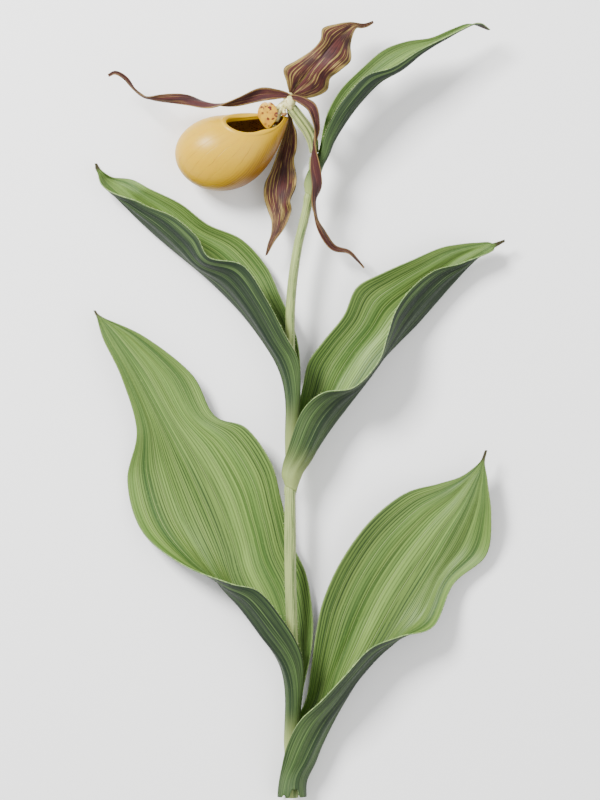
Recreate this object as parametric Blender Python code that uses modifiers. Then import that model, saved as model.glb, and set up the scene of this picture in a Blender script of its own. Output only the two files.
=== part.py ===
"""A cut flowering stem of a lady's slipper orchid, laid on a table.

The shoot lies on its side with its foot towards -Y and its flower towards +Y. Z is up, the table is Z = 0.
Every leaf clasps the stem with a sheath and then opens into a pleated blade folded along its keel.
Lengths in the tables are millimetres; MM turns them into Blender's metres.
"""

import math

import bmesh
import bpy
from mathutils import Matrix, Vector

MM = 0.001

# Driving dimensions
LEAF_THICKNESS = 0.64
PETAL_THICKNESS = 0.66
LIP_WALL = 0.8
SHEATH_HALF_WRAP = math.radians(158)
TIP_HALF_WIDTH = 0.9
TIP_OPENING = math.radians(88)
TIP_STATIONS = 1.9
TIP_CROWDING = 1.25
BOX_CENTRE = Vector((0.03, -0.285, 0.0))

# Stem axis from the cut foot to the base of the ovary: (x, y, z), and its radius
STEM_AXIS = [
    (-3.0, -156.0, 6.2), (-3.0, -145.0, 6.4), (-3.0, -135.0, 6.9), (-2.3, -118.5, 8.4), (-2.3, -102.5, 9.7),
    (-3.0, -84.5, 11.0), (-3.5, -66.5, 12.2), (-3.6, -46.5, 13.0), (-3.5, -26.5, 13.5), (-2.9, -12.5, 13.8),
    (-2.6, -0.5, 14.0), (-3.0, 13.5, 14.0), (-3.5, 25.5, 14.0), (-3.5, 39.0, 14.0), (-2.5, 52.0, 14.0),
    (-0.5, 65.0, 14.2), (1.9, 75.0, 14.4), (3.9, 84.0, 14.5), (5.2, 92.5, 14.6), (6.0, 100.5, 14.8),
]
STEM_RADIUS = [
    2.6, 2.5, 2.2, 2.1, 2.1, 2.2, 2.3, 2.3, 2.0, 1.8, 1.7, 1.7, 1.8, 1.9, 1.9, 1.8, 1.8, 1.8, 1.8, 1.8,
]
STEM_SIDES = 12
STEM_STEPS = 56
NODE_SWELLING = 0.35
NODE_LENGTH = 1.6
STEM_NODES_Y = (-140.2, -32.4, -22.8, 84.2)

# Leaves: keel, near margin (towards the viewer above) and far margin, from the sheath's foot to the tip
# The last row is the tip, where the margins meet
LOWER_LEFT = [
    ((-5.0, -137.0, 6.9), (0.5, -137.0, 7.0), (0.5, -137.0, 6.5)),
    ((-5.0, -130.5, 7.3), (0.5, -130.5, 8.0), (0.5, -130.5, 7.0)),
    ((-5.5, -122.5, 7.8), (1.5, -121.0, 9.0), (1.5, -121.0, 7.0)),
    ((-6.0, -112.5, 7.6), (2.5, -110.0, 12.0), (3.5, -111.5, 6.0)),
    ((-9.0, -101.0, 5.8), (1.0, -97.5, 16.5), (5.5, -98.5, 5.0)),
    ((-15.0, -90.0, 3.5), (-5.5, -84.5, 19.5), (5.5, -83.5, 4.2)),
    ((-21.0, -80.5, 1.8), (-15.5, -72.5, 20.5), (3.0, -67.0, 4.5)),
    ((-27.0, -69.5, 0.6), (-28.0, -69.5, 19.0), (-3.0, -53.5, 6.0)),
    ((-31.0, -56.5, 0.5), (-47.0, -65.0, 14.0), (-7.0, -37.5, 9.5)),
    ((-37.0, -41.0, 2.0), (-63.0, -49.0, 7.0), (-11.0, -21.5, 13.0)),
    ((-45.0, -23.0, 5.0), (-69.0, -29.0, 4.0), (-21.0, -7.5, 12.0)),
    ((-55.0, -3.5, 8.0), (-65.0, -9.0, 9.0), (-34.0, -2.5, 8.0)),
    ((-65.0, 14.5, 9.5), (-71.0, 12.5, 11.0), (-43.0, 14.0, 9.0)),
    ((-74.0, 28.5, 9.0), (-77.0, 27.0, 9.5), (-62.0, 28.5, 11.0)),
    ((-82.0, 39.5, 7.0),),
]
LOWER_RIGHT = [
    ((3.0, -155.5, 6.6), (-9.0, -155.5, 6.6), (-9.0, -155.5, 6.6)),
    ((5.0, -147.0, 6.0), (-7.5, -146.5, 8.0), (-7.5, -146.5, 5.0)),
    ((8.5, -137.0, 5.0), (-5.0, -136.0, 14.0), (-4.5, -135.0, 2.0)),
    ((13.5, -126.5, 3.8), (0.5, -125.0, 18.0), (-1.0, -125.0, 1.0)),
    ((19.0, -116.5, 2.6), (8.5, -116.5, 20.0), (3.0, -116.5, 1.5)),
    ((25.0, -107.0, 1.6), (18.0, -105.5, 20.5), (5.0, -103.5, 3.5)),
    ((31.5, -99.0, 0.8), (28.0, -95.5, 20.0), (7.0, -90.0, 6.0)),
    ((37.5, -90.0, 0.4), (41.0, -91.0, 17.0), (10.0, -76.5, 8.5)),
    ((44.0, -79.0, 1.0), (54.0, -87.0, 12.5), (17.0, -60.5, 11.0)),
    ((51.5, -66.5, 3.0), (62.5, -71.0, 7.5), (28.0, -45.0, 12.0)),
    ((59.0, -53.0, 6.0), (75.0, -59.0, 6.0), (42.0, -34.0, 11.0)),
    ((66.5, -39.5, 8.5), (77.0, -43.0, 9.5), (56.0, -30.0, 9.5)),
    ((71.5, -28.0, 9.5), (75.5, -29.5, 10.5), (66.0, -26.5, 9.0)),
    ((75.0, -16.5, 9.0),),
]
UPPER_LEFT = [
    ((-5.0, -19.5, 13.7), (0.5, -19.5, 14.0), (0.5, -19.5, 13.4)),
    ((-5.0, -7.5, 13.8), (0.5, -6.5, 15.0), (0.5, -6.5, 13.0)),
    ((-5.5, 4.5, 13.4), (1.0, 7.0, 17.0), (1.0, 7.0, 11.5)),
    ((-8.5, 16.5, 12.0), (-0.5, 19.5, 20.5), (0.0, 23.0, 9.5)),
    ((-15.0, 27.0, 9.8), (-5.0, 29.0, 22.5), (-3.0, 35.0, 8.0)),
    ((-23.5, 37.0, 7.8), (-13.0, 44.5, 23.5), (-7.5, 45.0, 6.5)),
    ((-34.0, 45.0, 6.0), (-22.5, 57.0, 22.5), (-13.0, 57.0, 5.5)),
    ((-44.0, 53.0, 4.5), (-36.0, 60.0, 20.5), (-23.0, 68.0, 5.5)),
    ((-54.0, 62.5, 3.6), (-41.0, 69.0, 18.5), (-36.5, 74.0, 6.0)),
    ((-63.0, 71.0, 3.6), (-50.0, 77.0, 15.5), (-47.0, 82.0, 7.5)),
    ((-71.0, 80.5, 4.6), (-62.5, 82.0, 12.0), (-58.5, 87.5, 8.0)),
    ((-77.0, 89.0, 6.2), (-73.0, 88.5, 9.5), (-70.0, 92.5, 8.0)),
    ((-81.5, 98.5, 7.5),),
]
UPPER_RIGHT = [
    ((0.5, -30.0, 13.4), (-7.0, -30.0, 13.5), (-7.0, -30.0, 13.5)),
    ((3.0, -24.5, 13.0), (-6.5, -23.0, 15.0), (-6.5, -23.0, 12.0)),
    ((7.5, -16.0, 12.0), (-3.5, -13.5, 19.5), (-4.0, -13.5, 8.5)),
    ((13.5, -7.0, 11.0), (1.5, -1.0, 22.0), (-1.0, -2.5, 7.0)),
    ((20.0, 1.5, 10.0), (9.5, 6.5, 24.0), (1.5, 8.5, 6.2)),
    ((27.0, 10.5, 9.0), (21.5, 9.0, 24.0), (4.0, 19.0, 6.5)),
    ((33.0, 19.0, 8.0), (31.5, 19.0, 23.5), (10.0, 27.5, 8.0)),
    ((40.0, 26.5, 7.0), (35.5, 29.0, 22.5), (18.0, 37.5, 9.5)),
    ((47.0, 33.5, 6.2), (39.0, 39.5, 20.0), (23.0, 48.5, 11.0)),
    ((54.5, 42.0, 5.8), (45.0, 48.5, 17.0), (32.5, 54.0, 10.5)),
    ((62.0, 50.5, 6.2), (54.0, 55.5, 14.0), (45.0, 59.5, 10.5)),
    ((69.5, 58.5, 7.0), (65.5, 58.5, 11.5), (59.0, 65.0, 10.0)),
    ((76.5, 64.5, 8.0), (75.0, 63.5, 10.0), (72.5, 65.5, 8.8)),
    ((82.5, 67.5, 8.0),),
]
BRACT = [
    ((8.5, 87.0, 14.4), (3.5, 87.0, 17.4), (3.5, 87.0, 11.6)),
    ((8.6, 91.5, 14.6), (3.6, 91.5, 17.6), (3.6, 91.5, 11.6)),
    ((10.8, 99.0, 15.0), (8.0, 98.5, 18.7), (7.5, 100.5, 11.6)),
    ((13.5, 107.0, 16.0), (10.0, 108.0, 22.0), (9.5, 111.0, 13.0)),
    ((19.0, 116.5, 17.0), (14.0, 117.5, 25.5), (12.0, 119.5, 14.0)),
    ((25.5, 125.0, 18.0), (19.5, 125.0, 27.0), (17.0, 128.0, 15.0)),
    ((33.5, 132.5, 19.0), (27.0, 132.0, 27.0), (24.5, 135.5, 16.0)),
    ((42.5, 138.0, 20.0), (37.0, 135.5, 25.5), (33.5, 143.0, 17.0)),
    ((50.0, 143.0, 20.0), (47.0, 142.0, 24.0), (43.0, 146.5, 18.0)),
    ((58.0, 147.0, 19.5), (56.5, 147.0, 22.0), (52.5, 148.0, 18.0)),
    ((65.0, 151.0, 18.5), (64.5, 151.0, 20.5), (61.0, 151.5, 18.0)),
    ((71.0, 153.5, 17.0), (71.0, 154.0, 18.6), (68.5, 154.0, 17.0)),
    ((76.0, 151.5, 14.5),),
]

# Sepals: midrib and its two margins
DORSAL_SEPAL = [
    ((-3.0, 125.5, 15.0), (-4.0, 126.5, 15.8), (-2.0, 125.0, 14.2)),
    ((-1.0, 128.5, 15.6), (-5.0, 130.5, 18.5), (4.5, 124.5, 13.2)),
    ((2.0, 132.0, 16.4), (-6.0, 135.5, 20.5), (11.0, 127.5, 12.0)),
    ((5.0, 135.5, 17.2), (-1.0, 139.0, 17.5), (12.5, 132.0, 15.5)),
    ((8.5, 139.5, 18.0), (5.0, 143.0, 17.2), (16.5, 135.0, 18.5)),
    ((11.5, 143.5, 18.2), (8.5, 147.0, 20.5), (20.5, 139.0, 16.0)),
    ((15.0, 147.5, 17.5), (9.5, 151.5, 21.0), (20.5, 145.0, 14.0)),
    ((19.0, 151.0, 16.4), (15.0, 153.5, 17.5), (21.5, 149.0, 16.5)),
    ((22.0, 153.0, 15.6), (20.5, 154.5, 16.0), (23.0, 152.0, 16.0)),
    ((25.0, 153.0, 15.2), (25.0, 154.0, 15.2), (25.0, 152.0, 15.2)),
    ((27.2, 153.4, 15.0), (27.0, 154.2, 15.0), (27.5, 152.6, 15.0)),
    ((29.7, 154.6, 15.0),),
]
SYNSEPAL = [
    ((-3.5, 115.0, 11.5), (-4.5, 115.0, 11.2), (-2.5, 115.0, 11.8)),
    ((-4.0, 110.0, 8.6), (-6.5, 109.0, 7.0), (-1.0, 110.5, 10.5)),
    ((-5.0, 104.5, 7.2), (-9.0, 102.0, 6.0), (-1.0, 104.5, 9.5)),
    ((-6.0, 99.0, 7.0), (-11.0, 96.0, 7.5), (-2.0, 99.5, 6.5)),
    ((-7.0, 93.0, 7.6), (-13.5, 90.5, 9.5), (-1.0, 93.5, 7.0)),
    ((-8.0, 87.5, 8.6), (-14.0, 85.0, 9.0), (-1.5, 88.5, 11.0)),
    ((-8.0, 82.0, 9.6), (-12.5, 79.5, 7.5), (-3.5, 83.5, 12.0)),
    ((-7.6, 77.3, 10.6), (-11.0, 75.0, 9.2), (-3.0, 79.5, 9.6)),
    ((-8.8, 71.3, 11.4), (-11.2, 70.0, 10.8), (-5.8, 72.5, 11.0)),
    ((-11.2, 66.2, 12.3), (-12.6, 65.5, 12.0), (-9.7, 67.0, 12.4)),
    ((-13.0, 61.5, 12.6),),
]

# Lateral petals: centreline, half width and turn of the ribbon about it in degrees
PETAL_LEFT = [
    (-5.0, 125.0, 18.2), (-9.5, 125.5, 18.4), (-15.0, 125.5, 18.6), (-23.0, 123.5, 19.0), (-31.0, 121.5, 19.5),
    (-38.5, 122.0, 19.0), (-46.5, 123.5, 18.5), (-54.5, 123.5, 18.0), (-61.0, 124.0, 17.5), (-65.5, 127.0, 17.5),
    (-69.0, 131.5, 18.0), (-73.0, 134.0, 18.5), (-76.0, 133.0, 17.5),
]
PETAL_LEFT_HALF_WIDTH = [1.2, 2.0, 2.7, 2.6, 2.3, 2.2, 2.1, 1.9, 1.6, 1.2, 1.0, 0.8, 0.5]
PETAL_LEFT_TURN = [0, 5, 15, 50, 90, 135, 180, 225, 265, 290, 320, 345, 360]
PETAL_RIGHT = [
    (-2.3, 124.2, 18.2), (2.0, 122.3, 19.8), (5.3, 119.2, 21.0), (6.6, 112.5, 21.5), (5.8, 105.0, 21.5),
    (6.0, 97.5, 21.0), (7.3, 89.5, 20.5), (6.5, 82.5, 19.0), (7.5, 75.5, 16.5), (10.5, 69.0, 13.5),
    (14.0, 64.5, 11.5), (19.5, 63.0, 10.0), (23.0, 60.0, 9.0), (26.0, 56.5, 8.5),
]
PETAL_RIGHT_HALF_WIDTH = [1.0, 1.7, 2.1, 1.9, 1.8, 2.0, 2.1, 2.2, 1.9, 1.5, 1.2, 0.9, 0.7, 0.5]
PETAL_RIGHT_TURN = [0, 10, 25, 50, 100, 150, 200, 250, 290, 330, 360, 390, 410, 420]

# Ovary: centreline and radius; six ribs run along it
OVARY_AXIS = [
    (6.1, 102.3, 14.9), (5.4, 107.0, 15.0), (3.6, 111.2, 15.0), (1.2, 114.6, 15.0), (-1.0, 117.6, 15.0),
    (-2.6, 119.8, 15.0), (-3.6, 121.6, 15.0),
]
OVARY_RADIUS = [1.6, 2.0, 2.2, 2.2, 2.1, 2.0, 1.5]
OVARY_RIBS = 6
OVARY_RIB_DEPTH = 0.12

# Column: short stalk behind the shield-shaped staminode, with two anthers and the stigma
COLUMN_AXIS = [(-6.2, 121.3, 15.0), (-7.4, 120.0, 15.1), (-8.7, 117.6, 14.8), (-9.3, 114.8, 14.2)]
COLUMN_RADIUS = [1.1, 1.5, 1.5, 1.1]
STAMINODE_CENTRE = (-12.6, 117.2, 17.8)
STAMINODE_LENGTH = 11.0
STAMINODE_WIDTH = 8.4
STAMINODE_THICKNESS = 1.0
STAMINODE_DISH = 0.4
STAMINODE_TAPER = 0.42
STAMINODE_TURN = (math.radians(11), math.radians(-12))
ANTHER_CENTRES = ((-5.9, 117.7, 16.9), (-7.4, 118.4, 12.3))
ANTHER_RADII = (1.2, 0.9, 0.7)
STIGMA_CENTRE = (-9.5, 112.6, 13.6)
STIGMA_RADII = (1.5, 1.1, 1.3)

# Lip: an inflated slipper; sizes from its centre to its sides
LIP_CENTRE = (-30.8, 102.8, 13.45)
LIP_TOE = 18.8
LIP_HEEL = 26.6
LIP_UP = 14.6
LIP_DOWN = 15.8
LIP_HALF_WIDTH = 13.9
LIP_HEEL_RISE = 8.4
LIP_CLAW_RISE = 2.6
LIP_HEEL_TAPER = 0.52
LIP_TOE_DIRECTION = (-1.0, -0.09, 0.0)
LIP_ROLL = math.radians(20)
MOUTH_TILT = math.radians(38)
LIP_MERIDIANS = 26
LIP_PARALLELS = 20
MOUTH_PARALLELS = 4
# Margin of the mouth turned inwards: millimetres inwards and outwards at each step, and its share at the heel
MOUTH_MARGIN = [(1.3, 0.6), (2.6, 0.3)]
HEEL_MARGIN_SHARE = 0.45


def catmull_rom(points, s):
    """Point at station s (0 to len - 1) of a smooth curve through the points."""
    last = len(points) - 1
    i = min(max(int(math.floor(s)), 0), last - 1)
    f = s - i
    p1, p2 = Vector(points[i]), Vector(points[i + 1])
    p0 = Vector(points[i - 1]) if i > 0 else p1 * 2 - p2
    p3 = Vector(points[i + 2]) if i + 2 <= last else p2 * 2 - p1
    return 0.5 * (
        2 * p1 + (p2 - p0) * f + (2 * p0 - 5 * p1 + 4 * p2 - p3) * f * f + (3 * p1 - p0 - 3 * p2 + p3) * f ** 3
    )


def value_along(values, s):
    """The same smooth interpolation for a list of numbers."""
    return catmull_rom([(v, 0.0, 0.0) for v in values], s).x


def smoothstep(low, high, x):
    f = min(max((x - low) / (high - low), 0.0), 1.0)
    return f * f * (3 - 2 * f)


def stem_centre_at(y):
    """Centre of the stem where it crosses the given y."""
    for (x0, y0, z0), (x1, y1, z1) in zip(STEM_AXIS, STEM_AXIS[1:]):
        if y <= y1 or (x1, y1, z1) == STEM_AXIS[-1]:
            f = (y - y0) / (y1 - y0)
            return Vector((x0 + (x1 - x0) * f, y, z0 + (z1 - z0) * f))


class Leaf:
    """A clasping leaf: a tube round the stem that opens into a blade folded along its keel."""

    def __init__(self, stations, side, sheath_radius, opens, pleat, near_arch, far_arch, ribs=2.5):
        self.keel = [Vector(s[0]) for s in stations]
        self.near = [Vector(s[1]) for s in stations[:-1]]
        self.far = [Vector(s[2]) for s in stations[:-1]]
        for margin in (self.near, self.far):
            margin.append(self.keel[-1] + (margin[-1] - self.keel[-2]).normalized() * TIP_HALF_WIDTH)
        self.side = side
        self.sheath_radius = sheath_radius
        self.opens = opens
        self.pleat = pleat
        self.near_arch = near_arch
        self.far_arch = far_arch
        self.ribs = ribs
        self.last = len(stations) - 1

    def sheath_point(self, u, s):
        """Point on the tube round the stem; u = 0 is the keel and u = +1 the margin that passes above."""
        centre = stem_centre_at(catmull_rom(self.keel, s).y)
        start, end = self.sheath_radius
        radius = start + (end - start) * smoothstep(0.0, self.opens[1], s)
        angle = abs(u) * SHEATH_HALF_WRAP
        up = math.sin(angle) * (1 if u > 0 else -1)
        return centre + radius * Vector((self.side * math.cos(angle), 0.0, up))

    def chord(self, half, keel, s):
        """Straight line from the keel to a margin; the two halves open flat towards the tip."""
        near = catmull_rom(self.near, s) - keel
        far = catmull_rom(self.far, s) - keel
        length = near.length if half > 0 else far.length
        middle = (near.normalized() + far.normalized()).normalized()
        aside = (near.normalized() - far.normalized()).normalized()
        fold = near.angle(far) / 2
        fold += max(TIP_OPENING - fold, 0.0) * smoothstep(self.last - TIP_STATIONS, self.last - 0.3, s)
        return (middle * math.cos(fold) + aside * (math.sin(fold) * half)) * length

    def blade_point(self, u, s):
        """Point on the open blade; each half is an arched strip from the keel to its margin."""
        keel = catmull_rom(self.keel, s)
        ahead = catmull_rom(self.keel, min(s + 0.05, self.last)) - catmull_rom(self.keel, max(s - 0.05, 0.0))
        half = 1 if u > 0 else -1
        chord = self.chord(half, keel, s)
        v = abs(u)
        outwards = ahead.cross(chord) * (self.side * half)
        if outwards.length > 1e-9:
            outwards.normalize()
        arch = value_along(self.near_arch if u > 0 else self.far_arch, s * (len(self.near_arch) - 1) / self.last)
        fold = math.sin(math.pi * min(v * 1.15, 1.0)) * math.cos(2 * math.pi * self.ribs * v)
        fade = smoothstep(3.0, 12.0, chord.length)
        bulge = arch * chord.length * smoothstep(1.0, 5.0, chord.length) * 4 * v * (1 - v)
        return keel + chord * v + outwards * (bulge + self.pleat * fade * fold)

    def point(self, u, s):
        """Point of the leaf's middle surface in millimetres, kept above the table by half the thickness."""
        weight = smoothstep(self.opens[0], self.opens[1], s)
        p = self.sheath_point(u, s).lerp(self.blade_point(u, s), weight)
        p.z = max(p.z, LEAF_THICKNESS / 2)
        return p


class Sepal(Leaf):
    """A sepal: a blade with no sheath."""

    def point(self, u, s):
        return self.blade_point(u, s)


def ribbon_point(axis, half_width, turn, cup, u, s):
    """Point of a twisted ribbon: u runs across it from -1 to 1."""
    last = len(axis) - 1
    ahead = (catmull_rom(axis, min(s + 0.05, last)) - catmull_rom(axis, max(s - 0.05, 0.0))).normalized()
    across = ahead.cross(Vector((0, 0, 1))).normalized()
    lift = across.cross(ahead)
    angle = math.radians(value_along(turn, s))
    width_dir = across * math.cos(angle) + lift * math.sin(angle)
    face = lift * math.cos(angle) - across * math.sin(angle)
    w = value_along(half_width, s)
    return catmull_rom(axis, s) + width_dir * (w * u) + face * (cup * w * u * u)


def material(name, colour, roughness):
    """A plain Principled finish."""
    made = bpy.data.materials.get(name)
    if made is None:
        made = bpy.data.materials.new(name)
        made.use_nodes = True
        shader = made.node_tree.nodes["Principled BSDF"]
        shader.inputs["Base Color"].default_value = (*colour, 1.0)
        shader.inputs["Roughness"].default_value = roughness
        shader.inputs["Metallic"].default_value = 0.0
    return made


LEAF_GREEN = ("leaf_green", (0.16, 0.30, 0.07), 0.55)
STEM_GREEN = ("stem_green", (0.30, 0.42, 0.14), 0.55)
PETAL_BROWN = ("petal_brown", (0.22, 0.08, 0.05), 0.5)
LIP_YELLOW = ("lip_yellow", (0.90, 0.66, 0.08), 0.35)
STAMINODE_YELLOW = ("staminode_yellow", (0.88, 0.62, 0.10), 0.4)
CREAM = ("cream", (0.86, 0.82, 0.58), 0.5)


def finish_object(name, bm, finish, collection):
    """Makes the bmesh, in millimetres, an object in metres with its finish."""
    bmesh.ops.transform(bm, matrix=Matrix.Scale(MM, 4) @ Matrix.Translation(-BOX_CENTRE), verts=bm.verts)
    mesh = bpy.data.meshes.new(name)
    bm.to_mesh(mesh)
    bm.free()
    mesh.materials.append(material(*finish))
    mesh.shade_smooth()
    obj = bpy.data.objects.new(name, mesh)
    collection.objects.link(obj)
    return obj


def sheet(name, point, last, across, along, thickness, finish, collection):
    """A thin curved blade: a grid laid over the surface, split into triangles and given its thickness."""
    bm = bmesh.new()
    bmesh.ops.create_grid(bm, x_segments=across, y_segments=along, size=1.0)
    for vert in bm.verts:
        t = (vert.co.y + 1) / 2
        vert.co = point(vert.co.x, last * (1 - (1 - t) ** TIP_CROWDING))
    obj = finish_object(name, bm, finish, collection)
    split = obj.modifiers.new("split", "TRIANGULATE")
    split.quad_method = "FIXED"
    wall = obj.modifiers.new("wall", "SOLIDIFY")
    wall.thickness = thickness * MM
    wall.offset = 0.0
    return obj


def tube(name, axis, radius, steps, sides, finish, collection, ribs=0, rib_depth=0.0, swellings=()):
    """A closed round body along a curve: a grid rolled into a tube, welded at its seam and filled at its ends."""
    bm = bmesh.new()
    last = len(axis) - 1
    bmesh.ops.create_grid(bm, x_segments=sides, y_segments=steps, size=1.0)
    for vert in bm.verts:
        angle = math.pi * vert.co.x
        s = (vert.co.y + 1) / 2 * last
        centre = catmull_rom(axis, s)
        ahead = (catmull_rom(axis, min(s + 0.1, last)) - catmull_rom(axis, max(s - 0.1, 0.0))).normalized()
        side = ahead.cross(Vector((0, 0, 1))).normalized()
        lift = side.cross(ahead)
        r = value_along(radius, s) * (1 + rib_depth * math.cos(ribs * angle))
        for node_y in swellings:
            r += NODE_SWELLING * math.exp(-(((centre.y - node_y) / NODE_LENGTH) ** 2))
        vert.co = centre + (side * math.cos(angle) + lift * math.sin(angle)) * r
    bmesh.ops.remove_doubles(bm, verts=bm.verts, dist=0.0001)
    bmesh.ops.holes_fill(bm, edges=[e for e in bm.edges if e.is_boundary], sides=sides)
    bmesh.ops.recalc_face_normals(bm, faces=bm.faces)
    return finish_object(name, bm, finish, collection)


def lip_frame():
    """Directions of the lip: towards the toe, across it towards the viewer, and up out of its mouth."""
    toe = Vector(LIP_TOE_DIRECTION).normalized()
    flat_up = Vector((toe.y, -toe.x, 0.0))
    up = flat_up * math.cos(LIP_ROLL) + Vector((0, 0, math.sin(LIP_ROLL)))
    across = Vector((0, 0, math.cos(LIP_ROLL))) - flat_up * math.sin(LIP_ROLL)
    return toe, across, up


def lip_point(direction):
    """Point of the lip's outside for a unit direction given as (toe, across, up)."""
    toe, across, up = lip_frame()
    along = direction.x
    heel = max(-along, 0.0)
    shrink = 1 - LIP_HEEL_TAPER * heel ** 4
    length = LIP_TOE if along > 0 else LIP_HEEL
    height = LIP_UP if direction.z > 0 else LIP_DOWN
    rise = LIP_HEEL_RISE * heel ** 2 + LIP_CLAW_RISE * heel ** 8
    p = Vector(LIP_CENTRE) + toe * (along * length) + across * (direction.y * LIP_HALF_WIDTH * shrink)
    return p + up * (direction.z * height * shrink) + Vector((0.0, rise, 0.0))


def lip(name, collection):
    """The slipper: a sphere opened at its mouth, its margin rolled inwards, and a wall grown inside it."""
    bm = bmesh.new()
    bmesh.ops.create_uvsphere(bm, u_segments=LIP_MERIDIANS, v_segments=LIP_PARALLELS, radius=1.0)
    mouth_angle = math.pi * MOUTH_PARALLELS / LIP_PARALLELS
    inside = [v for v in bm.verts if v.co.z > math.cos(mouth_angle - 0.02)]
    bmesh.ops.delete(bm, geom=inside, context="VERTS")
    bmesh.ops.rotate(bm, verts=bm.verts, matrix=Matrix.Rotation(-MOUTH_TILT, 3, "Y"))
    rim_edges = [e for e in bm.edges if e.is_boundary]
    for vert in bm.verts:
        vert.co = lip_point(vert.co.normalized())
    toe, across, up = lip_frame()
    mouth_axis = up * math.cos(MOUTH_TILT) - toe * math.sin(MOUTH_TILT)
    rim = list({v for e in rim_edges for v in e.verts})
    centre = sum((v.co for v in rim), Vector()) / len(rim)
    farthest = max((v.co - centre).dot(-toe) for v in rim)
    start = {}
    for vert in rim:
        arm = vert.co - centre
        heel = arm.dot(-toe) / farthest
        inwards = -(arm - mouth_axis * arm.dot(mouth_axis)).normalized()
        start[vert] = (vert.co.copy(), inwards, 1 - (1 - HEEL_MARGIN_SHARE) * smoothstep(0.3, 0.85, heel))
    for inset, outset in MOUTH_MARGIN:
        grown = bmesh.ops.extrude_edge_only(bm, edges=rim_edges)["geom"]
        rim_edges = [g for g in grown if isinstance(g, bmesh.types.BMEdge) and g.is_boundary]
        moved = {}
        for vert in (g for g in grown if isinstance(g, bmesh.types.BMVert)):
            nearest = min(start, key=lambda old: (old.co - vert.co).length_squared)
            moved[vert] = start[nearest]
        for vert, (origin, inwards, share) in moved.items():
            vert.co = origin + (inwards * inset + mouth_axis * outset) * share
        start = moved
    for vert in bm.verts:
        vert.co.z = max(vert.co.z, 0.0)
    bmesh.ops.recalc_face_normals(bm, faces=bm.faces)
    obj = finish_object(name, bm, LIP_YELLOW, collection)
    split = obj.modifiers.new("split", "TRIANGULATE")
    split.quad_method = "FIXED"
    wall = obj.modifiers.new("wall", "SOLIDIFY")
    wall.thickness = LIP_WALL * MM
    wall.offset = -1.0
    return obj


def oval(name, centre, radii, turn, finish, collection, dish=0.0, taper=0.0, segments=12):
    """A closed rounded body; dish bends its sides down and taper narrows its lower end."""
    bm = bmesh.new()
    bmesh.ops.create_uvsphere(bm, u_segments=segments, v_segments=segments // 2, radius=1.0)
    for vert in bm.verts:
        x, y, z = vert.co
        x *= 1 - taper * max(-y, 0.0)
        vert.co = Vector((x * radii[0], y * radii[1], z * radii[2] - dish * (x * x + 0.5 * y * y)))
    spin = Matrix.Rotation(turn[0], 3, "X") @ Matrix.Rotation(turn[1], 3, "Y")
    bmesh.ops.rotate(bm, verts=bm.verts, matrix=spin)
    bmesh.ops.translate(bm, verts=bm.verts, vec=Vector(centre))
    return finish_object(name, bm, finish, collection)


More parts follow.
